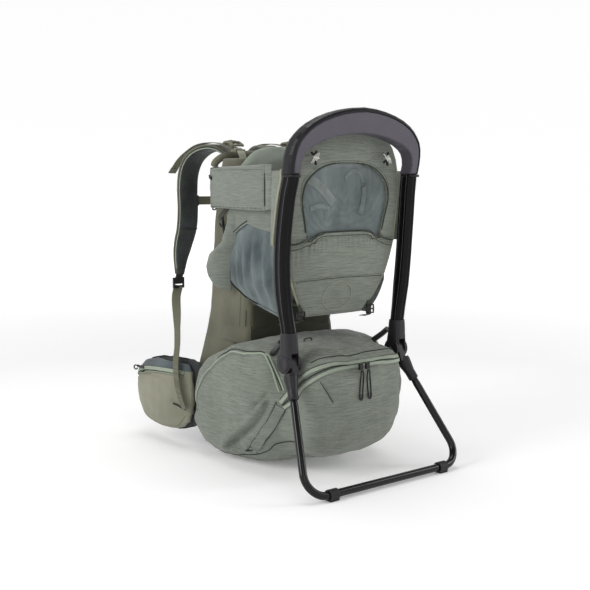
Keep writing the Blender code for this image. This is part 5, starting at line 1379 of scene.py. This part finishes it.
# ------------------------------------------------------------------ hip belt
def hip(side, s):
    body = f"hip_wing_{side}"
    p, w = POCK[side], WING[side]
    wrinkle(p, 0.0018, (20, 18, 22), 6.0)
    fold(p, [([V(s * 0.192, y, z) for y, z in ((0.186, 0.098), (0.200, 0.104), (0.222, 0.112))], -0.0040, 0.0050, 0.25),
             ([V(s * 0.192, y, z) for y, z in ((0.205, 0.168), (0.208, 0.140), (0.204, 0.112))], -0.0022, 0.0070, 0.25),
             ([V(s * 0.192, y, z) for y, z in ((0.240, 0.080), (0.290, 0.066), (0.345, 0.078))], -0.0012, 0.0080, 0.25)])
    for v in p.data.vertices:
        y, z = v.co.y - YS, v.co.z
        if 0.152 < z < 0.186 and y < 0.372:
            lim = 0.1852 + 0.060 * max(0.0, 0.350 - y)
            k = sm((z - 0.152) / 0.008) * sm((0.186 - z) / 0.008)
            if abs(v.co.x) > lim:
                v.co.x += (math.copysign(lim, v.co.x) - v.co.x) * k
    t = bvh(p)
    zp = [(0.174, 0.1790), (0.190, 0.1820), (0.225, 0.1810), (0.270, 0.1770), (0.320, 0.1715), (0.355, 0.1660), (0.376, 0.1600), (0.386, 0.1550)]
    for pl in p.data.polygons:
        if pl.center.z > interp(zp, pl.center.y - YS):
            pl.material_index = 1
    p.data.materials.append(M["net_pocket"])
    path = [V(s * 0.196, y, z) for y, z in zp]
    tape(f"pocket_zip_{side}", path, t, 0.0086, 0.0022, "mint_trim", body, 0.0005, 90)
    tape(f"pocket_zip_low_{side}", [q + Vector((0, 0, -0.0078)) for q in path], t, 0.0022, 0.0018, "mint_trim", body, 0.0004, 90)
    tape(f"pocket_zip_gap_{side}", [q + Vector((0, 0, -0.0056)) for q in path], t, 0.0016, 0.0026, "stitch", body, 0.0005, 90)
    stitches(f"pocket_stitch_{side}", [q + Vector((0, 0, -0.0105)) for q in path[1:-1]], t, body)
    piping(f"pocket_piping_{side}", [V(s * 0.186, y, z) for y, z in ((0.388, 0.140), (0.386, 0.105), (0.374, 0.076), (0.350, 0.054), (0.310, 0.042), (0.250, 0.040), (0.205, 0.050), (0.178, 0.074))], t, 0.0013, "pocket", body, 0.0004, 90)
    # pull loop at the front end of the zip
    e = V(s * 0.1905, 0.3745, 0.1665)
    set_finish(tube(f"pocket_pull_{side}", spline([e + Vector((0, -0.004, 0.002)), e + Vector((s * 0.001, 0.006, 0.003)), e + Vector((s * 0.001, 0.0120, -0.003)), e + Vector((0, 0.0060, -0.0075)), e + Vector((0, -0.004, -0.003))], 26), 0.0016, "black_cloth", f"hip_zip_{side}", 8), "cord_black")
    # wing binding
    tw = bvh(w)
    rim = [(0.206, 0.196), (0.2055, 0.245), (0.199, 0.300), (0.186, 0.352), (0.165, 0.381), (0.140, 0.389), (0.104, 0.385), (0.074, 0.366), (0.051, 0.338), (0.037, 0.290), (0.037, 0.232), (0.050, 0.184)]
    piping(f"wing_binding_{side}", [V(s * (interp([(0.150, 0.1352), (0.185, 0.1470), (0.255, 0.1565), (0.345, 0.1550), (0.400, 0.1480)], y) + 0.0055), y, z) for z, y in rim], tw, 0.0018, "black_cloth", body, 0.0003, 120)
    B = [(0.1458, 0.3300, 0.122), (0.1440, 0.3550, 0.122), (0.1375, 0.3790, 0.122), (0.1255, 0.3935, 0.121), (0.1092, 0.3975, 0.1205)]
    o = strap(f"belt_web_{side}", [V(s * x, y, z) for x, y, z in B], 0.036, 0.0022, (0, 0, 1), "webbing", body, 60)
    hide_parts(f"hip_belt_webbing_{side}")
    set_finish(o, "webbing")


both(hip)

# lumbar cushion: sewn channels
fold(lumbar, [([V(-0.075, 0.225, z), V(0, 0.234, z), V(0.075, 0.225, z)], -0.0040, 0.0060) for z in (0.115, 0.165, 0.215)]
     + [([V(0, 0.212, 0.080), V(0, 0.232, 0.15), V(0, 0.17, 0.275)], -0.0035, 0.0070)])
wrinkle(lumbar, 0.0008, (30, 30, 30), 1.0)
fold(yoke, [([V(s * 0.040, 0.130, 0.47), V(s * 0.040, 0.130, 0.64)], -0.0030, 0.0060) for s in (-1, 0, 1)])

# ------------------------------------------------------------------ riding and slots
SLOT = {"heather": "heather", "heather_light": "heather", "olive": "olive", "olive_painted_shade": "olive", "pocket": "olive", "mint": "pad_green", "mint_trim": "webbing", "cream_trim": "webbing",
        "window": "mesh_blue", "net_light": "mesh_blue", "net_blue": "mesh_blue", "net_dark": "mesh_dark", "net_pocket": "mesh_blue", "webbing": "webbing", "webbing_dark": "webbing", "webbing_light": "webbing",
        "black_cloth": "cord_black", "stitch": "webbing", "leg_highlight_paint": "frame_black", "knuckle": "knuckle_grey", "black": "buckle"}
BY_MAT = {M[k].name: v for k, v in SLOT.items()}
for o in list(SC.objects):
    if "b" in o:
        if o["b"] and o["b"] != "blend":
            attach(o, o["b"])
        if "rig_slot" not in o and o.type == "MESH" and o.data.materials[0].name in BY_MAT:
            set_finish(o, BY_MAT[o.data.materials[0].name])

# ------------------------------------------------------------------ floor, light, camera
bpy.ops.mesh.primitive_plane_add(size=60, location=(0, 0, -0.0002))
floor = bpy.context.object
floor.name = "floor"
fm = Mat("floor_pale", 0.95)
fm.base(fm.ramp(fm.noise((3, 3, 3), 2.0), [(0.0, (0.93, 0.93, 0.93)), (1.0, (0.96, 0.96, 0.96))]))
# painted light: the floor glows, weakly near the carrier and strongly far off, so that it fades into the white sky
fm.b.inputs["Emission Color"].default_value = (1, 1, 1, 1)
gr = fm.n("ShaderNodeTexGradient", gradient_type="SPHERICAL")
fm.link(fm.mapped((0.22, 0.22, 0.22)), gr.inputs["Vector"])
fm.link(fm.ramp(gr.outputs["Fac"], [(0.10, (0.70, 0.70, 0.70)), (0.70, (0.12, 0.12, 0.12))]), fm.b.inputs["Emission Strength"])
floor.data.materials.append(fm.m)

world = bpy.data.worlds.new("world")
SC.world = world
world.use_nodes = True
wt = world.node_tree
tc, sp, rp = wt.nodes.new("ShaderNodeTexCoord"), wt.nodes.new("ShaderNodeSeparateXYZ"), wt.nodes.new("ShaderNodeValToRGB")
wt.links.new(tc.outputs["Generated"], sp.inputs["Vector"])
wt.links.new(sp.outputs["Z"], rp.inputs["Fac"])
rp.color_ramp.elements[0].position, rp.color_ramp.elements[0].color = 0.0, (1, 1, 1, 1)
rp.color_ramp.elements[1].position, rp.color_ramp.elements[1].color = 0.85, (0.22, 0.22, 0.22, 1)
mid = rp.color_ramp.elements.new(0.30)
mid.color = (0.97, 0.97, 0.97, 1)
wt.links.new(rp.outputs["Color"], wt.nodes["Background"].inputs["Color"])
wt.nodes["Background"].inputs["Strength"].default_value = 1.0


def area(name, loc, size, power, to=(0, -0.05, 0.38)):
    d = bpy.data.lights.new(name, "AREA")
    d.shape = "RECTANGLE"
    d.size, d.size_y, d.energy = size[0], size[1], power
    o = bpy.data.objects.new(name, d)
    o.location = loc
    o.rotation_mode = "QUATERNION"
    o.rotation_quaternion = (Vector(to) - Vector(loc)).to_track_quat("-Z", "Y")
    SC.collection.objects.link(o)


area("key", (-2.6, 0.2, 1.7), (0.9, 1.5), 30)
area("rear_left", (-1.2, -2.6, 1.9), (0.9, 1.3), 8)
area("rear_right", (2.2, -1.6, 1.4), (0.35, 1.9), 14)
area("top", (0.1, 0.2, 2.6), (1.4, 1.4), 22)

cam = bpy.data.cameras.new("camera")
co = bpy.data.objects.new("camera", cam)
SC.collection.objects.link(co)
A, E = math.radians(38.4927), math.radians(6.84208)
f = Vector((math.sin(A) * math.cos(E), math.cos(A) * math.cos(E), -math.sin(E)))
co.location = (-1.39510558, -1.7543469 + YS, 0.6289459)
co.rotation_mode = "QUATERNION"
co.rotation_quaternion = f.to_track_quat("-Z", "Y")
cam.sensor_width = 36
cam.lens = 1009.73 / 590 * 36
cam.shift_x, cam.shift_y = 0.8 / 590, 0.92 / 590
cam.clip_start, cam.clip_end = 0.05, 60
SC.camera = co
SC.view_settings.view_transform = "Standard"
